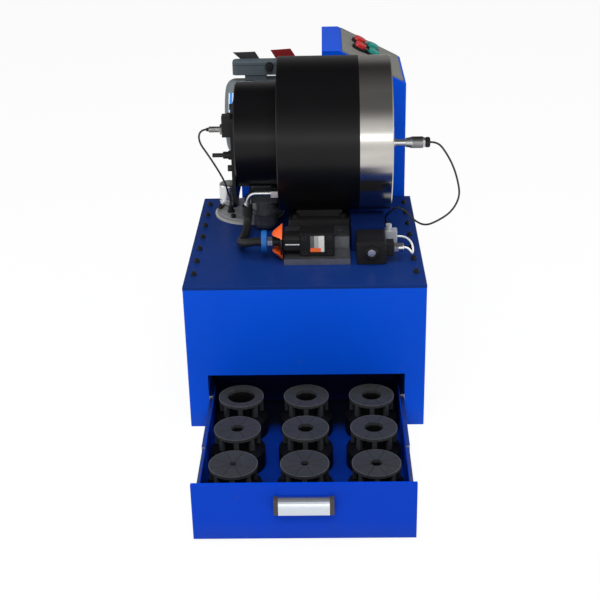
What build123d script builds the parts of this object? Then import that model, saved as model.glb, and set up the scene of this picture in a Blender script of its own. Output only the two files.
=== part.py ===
from build123d import *
import math
import os

os.makedirs("parts", exist_ok=True)

# Frame: X runs to the operator's side, -Y to the drawer side, Z up, origin on the floor under the tank.

# Running clearances
running_gap = 0.3
fit_gap = 0.06
seat_gap = 0.3

# Cabinet, with the drawer bay below and the oil tank above
cabinet_width = 540.0
cabinet_depth = 570.0
cabinet_wall = 4.0
bay_floor = 3.0
bay_height = 136.0
tank_floor = 4.0
tank_height = 204.0
cabinet_height = bay_floor + bay_height + tank_floor + tank_height
mouth_side_margin = 45.5
mouth_width = cabinet_width - 2 * mouth_side_margin
mouth_height = 131.0
partition_wall = 3.0
top_plate_thickness = 8.0
deck = cabinet_height + top_plate_thickness
edge_screw_inset = 20.0
edge_screw_pitch = 75.0
edge_screw_count = 7
edge_screw_size = 8.0

# Drawer of die sets, standing open at rest
drawer_back_room = 25.0
drawer_length = cabinet_depth - drawer_back_room
slide_overlap = 107.0
drawer_travel = drawer_length - slide_overlap
slide_end_gap = 75.0
drawer_height = 82.0
drawer_sheet = 2.0
drawer_floor_lift = 5.0
drawer_side_play = 3.0
drawer_front_thickness = 3.0
drawer_front_return = 6.0
handle_length = 101.0
handle_height = 34.0
handle_reach = 16.0
handle_wall = 3.0
handle_centre_up = 84.5
handle_cap_width = 9.0

# Telescopic slide at each side of the drawer
slide_height = 45.0
slide_sheet = 1.5
slide_length = drawer_length - slide_end_gap
slide_depth = 12.0
slide_centre_up = 52.0

# Die sets, eight segments each
tray_width = mouth_width - 2 * slide_depth
tray_half = tray_width / 2
die_column_gap = 29.0
die_row_gap = 23.0
die_side_gap = 4.5
die_front_gap = 67.0
die_back_gap = 81.0
die_room_across = tray_width - 2 * (drawer_sheet + die_side_gap + die_column_gap)
die_room_along = drawer_length + drawer_front_thickness - die_front_gap - die_back_gap - 2 * die_row_gap
die_base_radius = min(die_room_across, die_room_along) / 6
die_class_radius = 59.0
die_scale = die_base_radius / die_class_radius
die_pitch_x = 2 * die_base_radius + die_column_gap
die_pitch_y = 2 * die_base_radius + die_row_gap
die_disc_radius = 50.5 * die_scale
die_disc_thickness = 7.0
die_rib_height = 29.0
die_rib_width = 10.0 * die_scale
die_rib_radius = 49.0 * die_scale
die_waist_radius = 33.0 * die_scale
die_base_height = 54.0
die_segment_gap = 0.8
die_rows_forward = die_front_gap + die_base_radius
die_bores_back = (31.0 * die_scale, 24.0 * die_scale, 22.0 * die_scale)
die_bores_middle = (14.0 * die_scale, 17.0 * die_scale, 20.0 * die_scale)
die_bores_front = (6.5 * die_scale, 8.5 * die_scale, 12.0 * die_scale)

# Crimp head, axis along X
head_back_room = 200.0
head_y = cabinet_depth / 2 - head_back_room
head_z = 589.0
head_radius = 183.0
chamber_start = -62.0
chamber_length = 190.0
chamber_back_wall = 20.0
chamber_bore = 150.0
front_ring_length = 76.0
mouth_radius = 78.0
rear_radius = 124.0
rear_length = 101.0
rear_bore = 90.0
rear_wall = 10.0
through_radius = 60.0

# Master dies between the two wedge rings
die_count = 8
wedge_angle = 45.0
master_bore_radius = 52.0
master_block_height = 20.0
master_wedge_height = 40.0
master_half_length = 50.0
master_gap = 9.4
master_centre_ahead = 124.0
ram_stroke = 20.0
ram_back_gap = 2.0
ram_stem_back_gap = 3.0

# Foot under the chamber
foot_width = 148.0
foot_depth = 172.0
foot_thickness = 45.0
saddle_width = 110.0
saddle_depth = 120.0
foot_screw_size = 16.0
foot_screw_inset = 17.0

# Rear end of the head
bracket_thickness = 8.0
bracket_width = 190.0
bracket_drop = 156.0
bracket_rise = 75.0
bracket_screw_size = 10.0
rod_radius = 5.0
rod_circle = 76.0
rod_drop_angle = 201.9
rod_reach = 46.0
gland_flange_radius = 11.0
gland_flange_length = 8.0
gland_radius = 8.5
gland_length = 13.0
sensor_block_length = 20.0
sensor_block_depth = 30.0
sensor_block_height = 50.0
sensor_radius = 7.0
sensor_length = 34.0
sensor_nut_size = 22.0
sensor_nut_thickness = 5.0
sensor_up = 45.0
cord_diameter = 4.6
cord_gland_height = 15.0
micrometer_gland_y = head_y - 25.0

# Micrometer on the front ring
micrometer_circle = 118.0
micrometer_up = 11.5
sleeve_radius = 7.5
sleeve_length = 42.0
thimble_big_radius = 13.5
thimble_small_radius = 9.5
thimble_length = 46.0
thimble_start = 30.0
spindle_radius = 3.2
micrometer_cap_radius = 12.0
micrometer_cap_length = 10.0
cap_end_gap = 0.4

# Valve group in front of the foot
manifold_width = 152.0
manifold_depth = 70.0
manifold_height = 42.0
manifold_foot_gap = 30.0
ledge_depth = 67.0
ledge_height = 14.0
manifold_offset = -5.0
valve_width = 80.0
valve_height = 55.0
valve_depth = 50.0
valve_offset = 0.0
coil_length = 39.0
coil_height = 40.0
coil_depth = 44.0
collar_big_radius = 42.0
collar_small_radius = 20.0
collar_length = 24.0
collar_wall = 4.0
valve_screw_size = 8.0

# Relief block with the unloading coil
relief_width = 78.0
relief_depth = 105.0
relief_height = 60.0
relief_gap = 4.0
relief_coil_width = 68.0
relief_coil_height = 54.0
relief_coil_depth = 82.0
relief_nut_radius = 15.0
relief_nut_thickness = 9.0
relief_stud_radius = 8.5
plug_width = 36.0
plug_height = 34.0
plug_depth = 30.0
plug_gland_radius = 12.0
plug_gland_length = 22.0
plug_lead_diameter = 5.0
switch_width = 27.0
switch_height = 34.0

# Hydraulic line from the chamber to the valve
hose_diameter = 20.0
line_nut_size = 27.0
line_nut_length = 20.0
line_elbow_diameter = 14.0
line_collar_radius = 26.0
line_collar_length = 13.0
line_stub_length = 12.0
line_elbow_bend = 22.0
line_elbow_drop = 33.0
line_ferrule_length = 22.0
line_ferrule_wall = 2.5
hose_x = -140.0
port_circle = 142.0
port_angle = 243.0

# Return filter, access cover and filler
filter_radius = 32.0
filter_height = 76.0
filter_head_height = 24.0
filter_x = -99.0
filter_offset_y = -23.0
filter_y = head_y + filter_offset_y
access_radius = 88.0
access_gasket = 4.0
access_thickness = 8.0
access_edge_gap = 18.0
access_x = edge_screw_inset + access_edge_gap + access_radius - cabinet_width / 2
access_back_room = 109.0
access_y = cabinet_depth / 2 - access_back_room
sensor_gland_x = access_x - 46.0
sensor_gland_y = access_y - 26.0
access_screw_count = 6
breather_radius = 25.0
breather_height = 52.0
breather_neck_radius = 17.0
breather_neck_height = 8.0
breather_offset_x = -53.0
breather_offset_y = 26.0

# Motor and pump on the rear pedestal
motor_front_room = 89.0
motor_y = cabinet_depth / 2 + motor_front_room
motor_axis_height = 550.0
motor_radius = 88.0
motor_length = 128.0
motor_fin_height = 12.0
motor_fin_count = 28
motor_fin_width = 3.0
motor_start = -150.0
cowl_length = 58.0
cowl_radius = 99.0
cowl_sheet = 2.0
cowl_shoulder = 26.0
rotor_shaft_radius = 12.0
fan_radius = 80.0
fan_blade_count = 7
terminal_length = 120.0
terminal_depth = 36.0
terminal_height = 36.0
terminal_neck = 14.0
terminal_shift = 38.0
pump_radius = 45.0
pump_length = 38.0
bell_length = 24.0
pedestal_width = 170.0
pedestal_depth = 170.0
pedestal_plate = 12.0
pedestal_wall = 4.0

# Electrical console behind the tank
console_left = 43.0
console_width = 212.0
console_depth = 286.0
console_ridge_height = 740.0
console_ridge_width = 43.0
console_lip_height = 654.0
console_wall = 3.0
panel_thickness = 3.0
panel_border = 9.0
button_pitch_along = 38.0
button_pitch_across = 70.0
button_radius = 15.0
button_height = 16.0
button_travel = 4.0
button_bezel_radius = 20.0
button_bezel_height = 7.0
button_stem_radius = 8.0

head_front = chamber_start + chamber_length
ring_front = head_front + front_ring_length
rear_end = chamber_start - rear_length
face_y = -cabinet_depth / 2
drawer_front_y = face_y - drawer_travel - 6.0


def save(piece, name):
    export_step(piece, os.path.join("parts", name + ".step"))


def block(x0, x1, y0, y1, z0, z1):
    return Pos((x0 + x1) / 2, (y0 + y1) / 2, (z0 + z1) / 2) * Box(x1 - x0, y1 - y0, z1 - z0)


def along_x(radius, x0, x1, y=head_y, z=head_z):
    return Pos((x0 + x1) / 2, y, z) * Rot(0, 90, 0) * Cylinder(radius, x1 - x0)


def along_y(radius, y0, y1, x, z):
    return Pos(x, (y0 + y1) / 2, z) * Rot(90, 0, 0) * Cylinder(radius, y1 - y0)


def upright(radius, z0, z1, x, y):
    return Pos(x, y, (z0 + z1) / 2) * Cylinder(radius, z1 - z0)


def cap_screw(size):
    head = Cylinder(0.75 * size, size, align=(Align.CENTER, Align.CENTER, Align.MIN))
    socket = extrude(Plane.XY.offset(0.45 * size) * RegularPolygon(0.43 * size, 6), size)
    return head - socket


# Cabinet
def cabinet_shell():
    half = cabinet_width / 2
    back = cabinet_depth / 2
    bay_top = bay_floor + bay_height
    body = block(-half, half, -back, back, 0, cabinet_height)
    body = fillet(body.edges().filter_by(Axis.Z), 3.0)
    inner = half - cabinet_wall
    tank = block(-inner, inner, -back + cabinet_wall, back - cabinet_wall, bay_top + tank_floor, deck)
    bay_side = mouth_width / 2
    bay = block(-bay_side, bay_side, -back + cabinet_wall, back - cabinet_wall, bay_floor, bay_top)
    mouth = block(
        -mouth_width / 2, mouth_width / 2, -back - 1, -back + cabinet_wall + 1, bay_floor, bay_floor + mouth_height
    )
    side_void = block(
        bay_side + partition_wall, inner, -back + cabinet_wall, back - cabinet_wall, bay_floor, bay_top
    )
    body = body - tank - bay - mouth
    for side in (0, 1):
        body = body - (side_void if side == 0 else mirror(side_void, Plane.YZ))
    return body


def top_plate():
    half = cabinet_width / 2
    back = cabinet_depth / 2
    plate = block(-half, half, -back, back, cabinet_height, deck)
    top = plate.edges().group_by(Axis.Z)[-1]
    plate = chamfer(top, 1.5)
    hatch = upright(access_radius - 18, cabinet_height - 1, deck + 1, access_x, access_y)
    return plate - hatch


def edge_screws():
    span = (edge_screw_count - 1) * edge_screw_pitch
    screws = []
    for side in (-1, 1):
        for index in range(edge_screw_count):
            x = side * (cabinet_width / 2 - edge_screw_inset)
            y = index * edge_screw_pitch - span / 2 + 5
            screws.append(Pos(x, y, deck) * cap_screw(edge_screw_size))
    return screws


# Drawer
def drawer_tray():
    low = bay_floor + drawer_floor_lift
    front = drawer_front_y + drawer_front_thickness
    back = front + drawer_length
    shell = block(-tray_half, tray_half, front, back, low, low + drawer_height)
    inside = block(
        -tray_half + drawer_sheet,
        tray_half - drawer_sheet,
        front + drawer_sheet,
        back - drawer_sheet,
        low + drawer_sheet,
        low + drawer_height + 1,
    )
    return shell - inside


def drawer_front():
    half = mouth_width / 2 - drawer_side_play
    low = bay_floor + 2.0
    high = bay_floor + mouth_height - drawer_side_play
    back = drawer_front_y + drawer_front_thickness
    sheet = block(-half, half, drawer_front_y, back, low, high)
    rim = block(-half, half, back, back + drawer_front_return, low, high)
    hollow = block(-tray_half - 1, tray_half + 1, back, back + drawer_front_return + 1, low + 2, high - drawer_sheet)
    return sheet + (rim - hollow)


def handle_profile():
    low = bay_floor + handle_centre_up - handle_height / 2
    with BuildSketch(Plane.YZ) as profile:
        with BuildLine():
            back = Line((drawer_front_y, low + handle_height), (drawer_front_y, low + handle_height - 9))
            inner = Line(back @ 1, (drawer_front_y - handle_reach + 8, low + 12))
            lip = Line(inner @ 1, (drawer_front_y - handle_reach + 3, low))
            foot = Line(lip @ 1, (drawer_front_y - handle_reach, low))
            nose = ThreePointArc(
                foot @ 1,
                (drawer_front_y - handle_reach + 0.5, low + 0.62 * handle_height),
                (drawer_front_y - 5, low + handle_height),
            )
            Line(nose @ 1, back @ 0)
        make_face()
    return profile.sketch


def drawer_handle():
    grip = extrude(handle_profile(), handle_length / 2, both=True)
    return grip


def handle_caps():
    low = bay_floor + handle_centre_up - handle_height / 2
    caps = []
    for side in (-1, 1):
        x = side * (handle_length + handle_cap_width) / 2
        cap = Pos(x, 0, 0) * block(
            -handle_cap_width / 2,
            handle_cap_width / 2,
            drawer_front_y - handle_reach - 1,
            drawer_front_y,
            low - 1,
            low + handle_height + 1,
        )
        front = cap.edges().filter_by(Axis.X).group_by(Axis.Y)[0]
        caps.append(fillet(front, 5.0))
    return caps


def channel(x_web, x_mouth, height, sheet, y0, y1):
    centre = bay_floor + slide_centre_up
    low, high = min(x_web, x_mouth), max(x_web, x_mouth)
    body = block(low, high, y0, y1, centre - height / 2, centre + height / 2)
    direction = 1 if x_mouth > x_web else -1
    cut_low, cut_high = sorted((x_web + direction * sheet, x_mouth + direction))
    hollow = block(
        cut_low, cut_high, y0 - 1, y1 + 1, centre - height / 2 + sheet, centre + height / 2 - sheet
    )
    return body - hollow


def both_sides(piece):
    return Compound(children=[piece, mirror(piece, Plane.YZ)])


def slide_outer():
    wall = mouth_width / 2
    start = face_y + cabinet_wall + 1.0
    return both_sides(channel(wall, tray_half + 3.4, slide_height, slide_sheet, start, start + slide_length))


def slide_middle():
    step = slide_sheet + running_gap
    web = mouth_width / 2 - step
    start = face_y + cabinet_wall + 1.0 - drawer_travel / 2
    height = slide_height - 2 * step
    return both_sides(channel(web, tray_half + 2.2, height, slide_sheet, start, start + slide_length))


def slide_inner():
    step = 2 * (slide_sheet + running_gap)
    start = face_y + cabinet_wall + 1.0 - drawer_travel
    height = slide_height - 2 * step
    web = mouth_width / 2 - step
    return both_sides(channel(tray_half, web, height, slide_sheet, start, start + slide_length))


# Die sets
def die_segment(bore_radius):
    base = bay_floor + drawer_floor_lift + drawer_sheet
    rib_low = base + die_base_height
    disc_low = rib_low + die_rib_height
    disc_high = disc_low + die_disc_thickness
    with BuildSketch(Plane.XZ) as profile:
        with BuildLine():
            Polyline(
                (bore_radius, base),
                (die_base_radius, base),
                (die_base_radius, rib_low - 14),
                (die_waist_radius + 6, rib_low),
                (die_waist_radius, rib_low),
                (die_waist_radius, disc_low),
                (die_disc_radius, disc_low),
                (die_disc_radius, disc_high),
                (bore_radius, disc_high),
                close=True,
            )
        make_face()
    half = 180.0 / die_count
    wedge = revolve(profile.sketch, Axis.Z, 2 * half)
    wedge = Rot(0, 0, -half) * wedge
    rib = block(die_waist_radius - 2, die_rib_radius, -die_rib_width / 2, die_rib_width / 2, rib_low, disc_low)
    wedge = wedge + rib
    cut = block(-1, die_base_radius + 5, -die_segment_gap / 2, die_segment_gap / 2, 0, disc_high + 5)
    return wedge - Rot(0, 0, half) * cut - Rot(0, 0, -half) * cut


def die_set(bore_radius, x, y):
    segment = die_segment(bore_radius)
    turn = 360.0 / die_count
    return [Pos(x, y, 0) * Rot(0, 0, turn * index) * segment for index in range(die_count)]


def die_row(bores, row):
    y = drawer_front_y + die_rows_forward + row * die_pitch_y
    solids = []
    for column, bore in enumerate(bores):
        solids += die_set(bore, (column - 1) * die_pitch_x, y)
    return Compound(children=solids)


# Crimp head
def chamber():
    body = along_x(head_radius, chamber_start, head_front)
    bore = along_x(chamber_bore, chamber_start + chamber_back_wall, head_front + 1)
    neck = along_x(rear_bore, chamber_start - 1, head_front)
    rim = body.edges().filter_by(GeomType.CIRCLE).group_by(Axis.X)
    body = chamfer(rim[0], 2.0)
    return body - bore - neck - port_hole()


def port_place():
    angle = math.radians(port_angle)
    return head_y + port_circle * math.cos(angle), head_z + port_circle * math.sin(angle)


def port_hole():
    y, z = port_place()
    return along_x(6.0, chamber_start - 1, chamber_start + chamber_back_wall + 1, y, z)


def octagon(apothem, x):
    side = RegularPolygon(apothem, die_count, major_radius=False, rotation=180.0 / die_count)
    return Plane(origin=(x, head_y, head_z), x_dir=(0, 1, 0), z_dir=(1, 0, 0)) * side


wedge_foot = master_bore_radius + master_block_height
wedge_top = wedge_foot + master_wedge_height
wedge_run = master_wedge_height / math.tan(math.radians(wedge_angle))
wedge_normal_gap = seat_gap / math.sin(math.radians(wedge_angle))
master_x = chamber_start + master_centre_ahead
ring_seat_x = master_x + master_half_length + wedge_normal_gap
ram_seat_x = master_x - master_half_length - wedge_normal_gap


def wedge_seat(direction, seat_x):
    low = octagon(wedge_foot, seat_x)
    high = octagon(wedge_top + 1, seat_x - direction * (wedge_run + 1))
    return loft([low, high])


def front_ring():
    boss_back = ring_seat_x - wedge_run
    flange = along_x(head_radius, head_front, ring_front)
    rim = flange.edges().filter_by(GeomType.CIRCLE).group_by(Axis.X)[-1]
    flange = chamfer(rim, 2.5)
    boss = along_x(chamber_bore - fit_gap, boss_back, head_front + 1)
    body = flange + boss
    body = body - wedge_seat(1, ring_seat_x)
    throat = along_x(mouth_radius, ring_seat_x - 10, ring_front + 1)
    flare = Pos(ring_front - 7, head_y, head_z) * Rot(0, 90, 0) * Cone(mouth_radius, mouth_radius + 16, 16)
    hole = along_x(spindle_radius + 0.4, head_front - 1, ring_front + 1, micrometer_y(), micrometer_z())
    return body - throat - flare - hole


def ram():
    back = chamber_start + chamber_back_wall + ram_back_gap
    front = ram_seat_x + wedge_run
    head = along_x(chamber_bore - fit_gap, back, front)
    groove = along_x(chamber_bore + 1, back + 12, back + 17) - along_x(chamber_bore - 3, back + 11, back + 18)
    stem = along_x(rear_bore - fit_gap, rear_end + rear_wall + ram_stem_back_gap, back + 1)
    body = head - groove + stem
    body = body - wedge_seat(-1, ram_seat_x)
    bore = along_x(through_radius, rear_end, front + 1)
    recess = extrude(octagon(wedge_foot, ram_seat_x + 1), -(ram_stroke / 2 + ram_back_gap + 1))
    return body - bore - recess


def master_die():
    half = 180.0 / die_count
    with BuildSketch(Plane.XZ) as profile:
        with BuildLine():
            Polyline(
                (-master_half_length, master_bore_radius),
                (master_half_length, master_bore_radius),
                (master_half_length, wedge_foot),
                (master_half_length - wedge_run, wedge_top),
                (-master_half_length + wedge_run, wedge_top),
                (-master_half_length, wedge_foot),
                close=True,
            )
        make_face()
    body = extrude(profile.sketch, wedge_top, both=True)
    slope = math.tan(math.radians(half))
    flank = master_gap / 2 / math.cos(math.radians(half))
    with BuildSketch(Plane.YZ) as sector:
        with BuildLine():
            Polyline(
                (-(wedge_top + 20) * slope + flank, wedge_top + 20),
                ((wedge_top + 20) * slope - flank, wedge_top + 20),
                ((master_bore_radius - 14) * slope - flank, master_bore_radius - 14),
                (-(master_bore_radius - 14) * slope + flank, master_bore_radius - 14),
                close=True,
            )
        make_face()
    body = body & extrude(sector.sketch, 2 * master_half_length, both=True)
    bore = Rot(0, 90, 0) * Cylinder(master_bore_radius + 1.5, 3 * master_half_length)
    groove = Pos(0, 0, master_bore_radius) * Box(14, 100, 10)
    pin_hole = Pos(0, 0, master_bore_radius + 8) * Cylinder(4.0, 24)
    return body - bore - groove - pin_hole


def master_dies():
    die = master_die()
    turn = 360.0 / die_count
    return [Pos(master_x, head_y, head_z) * Rot(turn * index, 0, 0) * die for index in range(die_count)]


def rear_cylinder():
    body = along_x(rear_radius, rear_end, chamber_start)
    rim = body.edges().filter_by(GeomType.CIRCLE).group_by(Axis.X)[0]
    body = chamfer(rim, 3.0)
    bore = along_x(rear_bore, rear_end + rear_wall, chamber_start + 1)
    mouth = along_x(through_radius, rear_end - 1, rear_end + rear_wall + 1)
    y, z = rod_place()
    return body - bore - mouth - along_x(rod_radius + 0.4, rear_end - 1, rear_end + rear_wall + 1, y, z)


def rod_place():
    angle = math.radians(rod_drop_angle)
    return head_y + rod_circle * math.cos(angle), head_z + rod_circle * math.sin(angle)


def rear_bracket():
    y, z = rod_place()
    half = bracket_width / 2
    back = rear_end - bracket_thickness
    plate = block(back, rear_end, head_y - half, head_y + half, head_z - bracket_drop, head_z + bracket_rise)
    corners = plate.edges().filter_by(Axis.X)
    plate = fillet(corners, 18.0)
    plate = plate - along_x(through_radius, back - 1, rear_end + 1)
    plate = plate - along_x(rod_radius + 0.4, back - 1, rear_end + 1, y, z)
    sensor_z = z + sensor_up + gland_flange_radius + sensor_radius
    return plate - along_x(sensor_radius + 0.5, back - 1, rear_end + 1, y, sensor_z)


def bracket_screws():
    screws = []
    for side in (-1, 1):
        for level in (-0.42, 0.42):
            y = head_y + side * (0.42 if level < 0 else 0.2) * bracket_width
            z = head_z + level * bracket_width * 0.72
            screws.append(Pos(rear_end - bracket_thickness, y, z) * Rot(0, -90, 0) * cap_screw(bracket_screw_size))
    return screws


def limit_rod():
    y, z = rod_place()
    rod = along_x(rod_radius, rear_end - bracket_thickness - rod_reach, rear_end + rear_wall + ram_stem_back_gap, y, z)
    tip = rod.edges().filter_by(GeomType.CIRCLE).group_by(Axis.X)[0]
    return chamfer(tip, 1.0)


def rod_gland():
    y, z = rod_place()
    back = rear_end - bracket_thickness
    flange = along_x(gland_flange_radius, back - gland_flange_length, back, y, z)
    knob = along_x(gland_radius, back - gland_flange_length - gland_length, back - gland_flange_length, y, z)
    knob = chamfer(knob.edges().filter_by(GeomType.CIRCLE).group_by(Axis.X)[0], 1.5)
    return flange + knob - along_x(rod_radius + fit_gap, back - 60, back + 1, y, z)


def sensor_place():
    y, z = rod_place()
    return y, z + sensor_up + gland_flange_radius + sensor_radius


def sensor_block():
    y, z = sensor_place()
    back = rear_end - bracket_thickness
    body = block(
        back - sensor_block_length,
        back,
        y - sensor_block_depth / 2,
        y + sensor_block_depth / 2,
        z - sensor_block_height * 0.32,
        z + sensor_block_height * 0.68,
    )
    body = chamfer(body.edges().filter_by(Axis.X), 2.0)
    return body - along_x(sensor_radius + 0.1, back - 60, back + 1, y, z)


def proximity_sensor():
    y, z = sensor_place()
    tip = rear_end - bracket_thickness + 3.0
    body = along_x(sensor_radius, tip - sensor_block_length - sensor_length, tip, y, z)
    exit_end = tip - sensor_block_length - sensor_length
    neck = along_x(0.62 * sensor_radius, exit_end - 6, exit_end + 1, y, z)
    nut_x = rear_end - bracket_thickness - sensor_block_length
    nut = Plane(origin=(nut_x, y, z), z_dir=(-1, 0, 0)) * RegularPolygon(sensor_nut_size / 2, 6, major_radius=False)
    return body + neck + extrude(nut, sensor_nut_thickness)


# Foot
def head_foot():
    x = chamber_start + chamber_length / 2
    base = block(
        x - foot_width / 2,
        x + foot_width / 2,
        head_y - foot_depth / 2,
        head_y + foot_depth / 2,
        deck,
        deck + foot_thickness,
    )
    base = chamfer(base.edges().filter_by(Axis.Z), 3.0)
    saddle = block(
        x - saddle_width / 2,
        x + saddle_width / 2,
        head_y - saddle_depth / 2,
        head_y + saddle_depth / 2,
        deck + foot_thickness,
        head_z - 0.9 * head_radius,
    )
    return base + saddle - along_x(head_radius, chamber_start - 50, head_front + 50)


def foot_screws():
    centre = chamber_start + chamber_length / 2
    screws = []
    for side_x in (-1, 1):
        for side_y in (-1, 1):
            x = centre + side_x * (foot_width / 2 - foot_screw_inset)
            y = head_y + side_y * (foot_depth / 2 - foot_screw_inset)
            screws.append(Pos(x, y, deck + foot_thickness) * cap_screw(0.6 * foot_screw_size))
    return screws


# Micrometer
def micrometer_y():
    return head_y - micrometer_circle


def micrometer_z():
    return head_z + micrometer_up


def micrometer_sleeve():
    y = micrometer_y()
    sleeve = along_x(sleeve_radius, ring_front, ring_front + sleeve_length, y, micrometer_z())
    foot = along_x(sleeve_radius + 3, ring_front, ring_front + 6, y, micrometer_z())
    spindle = along_x(spindle_radius, head_front + 4, ring_front + thimble_start + thimble_length, y, micrometer_z())
    return sleeve + foot + spindle


def micrometer_thimble():
    y = micrometer_y()
    start = ring_front + thimble_start
    taper = Plane(origin=(start, y, micrometer_z()), z_dir=(1, 0, 0))
    with BuildSketch(Plane.XY) as profile:
        with BuildLine():
            Polyline(
                (0, 0),
                (thimble_small_radius + 1, 0),
                (thimble_big_radius - 1.5, 10),
                (thimble_big_radius, 14),
                (thimble_big_radius, thimble_length - 6),
                (thimble_big_radius - 3, thimble_length),
                (0, thimble_length),
                close=True,
            )
        make_face()
    body = revolve(profile.sketch, Axis.Y, 360)
    body = taper * (Rot(90, 0, 0) * body)
    bore = along_x(sleeve_radius + running_gap, start - 1, ring_front + sleeve_length + 1, y, micrometer_z())
    axle = along_x(spindle_radius + fit_gap, start, start + thimble_length + 1, y, micrometer_z())
    return body - bore - axle


def micrometer_cap():
    y = micrometer_y()
    start = ring_front + thimble_start + thimble_length + cap_end_gap
    cap = along_x(micrometer_cap_radius, start, start + micrometer_cap_length, y, micrometer_z())
    cap = fillet(cap.edges().filter_by(GeomType.CIRCLE).group_by(Axis.X)[-1], 4.0)
    pin = along_x(spindle_radius, start - cap_end_gap, start + 1, y, micrometer_z())
    return cap + pin


# Valve group
def group_front():
    return head_y - foot_depth / 2 - manifold_foot_gap


def manifold_centre():
    return chamber_start + chamber_length / 2 + manifold_offset


def valve_manifold():
    x = manifold_centre()
    front = group_front() - manifold_depth
    body = block(
        x - manifold_width / 2, x + manifold_width / 2, front, group_front(), deck, deck + manifold_height
    )
    body = chamfer(body.edges(), 1.5)
    ledge = block(x - manifold_width / 2, x + manifold_width / 2, front - ledge_depth, front + 3, deck, deck + ledge_height)
    body = body + ledge
    port = upright(11, deck + manifold_height - 14, deck + manifold_height + 1, x + manifold_width * 0.36, front + 36)
    side = along_x(9, x + manifold_width / 2 - 12, x + manifold_width / 2 + 1, front + 24, deck + 26)
    return body - port - side


def valve_z():
    return deck + manifold_height


def valve_body():
    x = manifold_centre() + valve_offset
    back = group_front() - manifold_depth
    front = back - valve_depth
    low = valve_z() - valve_height / 2
    body = block(x - valve_width / 2, x + valve_width / 2, front, back, low, low + valve_height)
    body = chamfer(body.edges().filter_by(Axis.Y), 3.0)
    body = chamfer(body.edges().group_by(Axis.Y)[0], 1.2)
    screws = []
    for side_x in (-1, 1):
        for side_z in (-1, 1):
            sx = x + side_x * (valve_width / 2 - 11)
            sz = valve_z() + side_z * (valve_height / 2 - 10)
            well = along_y(0.85 * valve_screw_size, front - 1, front + 6, sx, sz)
            body = body - well
            screws.append(Pos(sx, front + 6, sz) * Rot(90, 0, 0) * cap_screw(valve_screw_size))
    return body, Compound(children=screws)


def valve_coil():
    x = manifold_centre() + valve_offset - valve_width / 2
    middle = group_front() - manifold_depth - valve_depth / 2
    half_y = coil_depth / 2
    half_z = coil_height / 2
    body = block(x - coil_length, x, middle - half_y, middle + half_y, valve_z() - half_z, valve_z() + half_z)
    body = fillet(body.edges().filter_by(Axis.X), 9.0)
    body = chamfer(body.edges().group_by(Axis.X)[0], 2.0)
    tube = along_x(0.55 * collar_small_radius, x - coil_length - collar_length, x - coil_length, middle, valve_z())
    nut = along_x(0.8 * collar_small_radius, x - coil_length - 8, x - coil_length, middle, valve_z())
    pin = along_x(3.0, x - coil_length + 6, x, middle - half_y + 1.0, valve_z())
    return body + tube + nut + pin


def coil_collar():
    x = manifold_centre() + valve_offset - valve_width / 2 - coil_length - 0.5
    middle = group_front() - manifold_depth - valve_depth / 2
    small = collar_small_radius
    big = collar_big_radius
    with BuildSketch(Plane.XY) as profile:
        with BuildLine():
            Polyline(
                (0.8 * small + seat_gap, 0),
                (big - 8, 0),
                (big, 0),
                (small + 5, -collar_length + 3),
                (small, -collar_length),
                (small - 2, -collar_length + 4),
                (big - 11, -collar_wall),
                (0.8 * small + seat_gap, -collar_wall),
                close=True,
            )
        make_face()
    cone = revolve(profile.sketch, Axis.Y, 360)
    cone = Plane(origin=(x, middle, valve_z()), z_dir=(1, 0, 0)) * (Rot(90, 0, 0) * cone)
    slot = Pos(x - collar_length / 2 - collar_wall, middle, valve_z()) * Box(collar_length, 3 * big, 0.95 * big)
    return cone - slot


def relief_left():
    return manifold_centre() + manifold_width / 2 + relief_gap


def relief_block():
    left = relief_left()
    front = group_front() - manifold_depth + 12
    body = block(left, left + relief_width, front, front + relief_depth, deck, deck + relief_height)
    return chamfer(body.edges().filter_by(Axis.Z), 2.0)


def relief_coil():
    right = relief_left() + relief_width
    back = group_front() - manifold_depth + 12
    left = right - relief_coil_width
    front = back - relief_coil_depth
    body = block(left, right, front, back, deck, deck + relief_coil_height)
    body = fillet(body.edges().filter_by(Axis.Y), 5.0)
    body = chamfer(body.edges().group_by(Axis.Y)[0], 2.0)
    x = (left + right) / 2
    z = deck + 0.574 * relief_coil_height
    nut = along_y(relief_nut_radius, front - relief_nut_thickness, front, x, z)
    nut = chamfer(nut.edges().group_by(Axis.Y)[0], 1.5)
    well = along_y(relief_stud_radius + 1, front - relief_nut_thickness - 1, front - 4, x, z)
    stud = along_y(relief_stud_radius, front - relief_nut_thickness + 2, front - 4, x, z)
    return body + (nut - well), stud


def plug_place():
    left = relief_left() + relief_width
    front = group_front() - manifold_depth + 12 - relief_coil_depth
    return left, front + 8 + plug_depth / 2, deck + 0.6 * relief_coil_height


def cable_plug():
    left, y, z = plug_place()
    half_y = plug_depth / 2
    half_z = plug_height / 2
    body = block(left, left + plug_width / 2, y - half_y, y + half_y, z - half_z, z + half_z)
    body = fillet(body.edges().filter_by(Axis.X), 4.0)
    return chamfer(body.edges().group_by(Axis.X)[-1], 2.0)


def plug_gland():
    left, y, z = plug_place()
    start = left + plug_width / 2
    nut = Plane(origin=(start, y, z), z_dir=(1, 0, 0)) * RegularPolygon(plug_gland_radius, 6)
    body = extrude(nut, 0.45 * plug_gland_length)
    dome = along_x(0.82 * plug_gland_radius, start, start + plug_gland_length, y, z)
    dome = fillet(dome.edges().filter_by(GeomType.CIRCLE).group_by(Axis.X)[-1], 3.0)
    return body + dome


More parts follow.
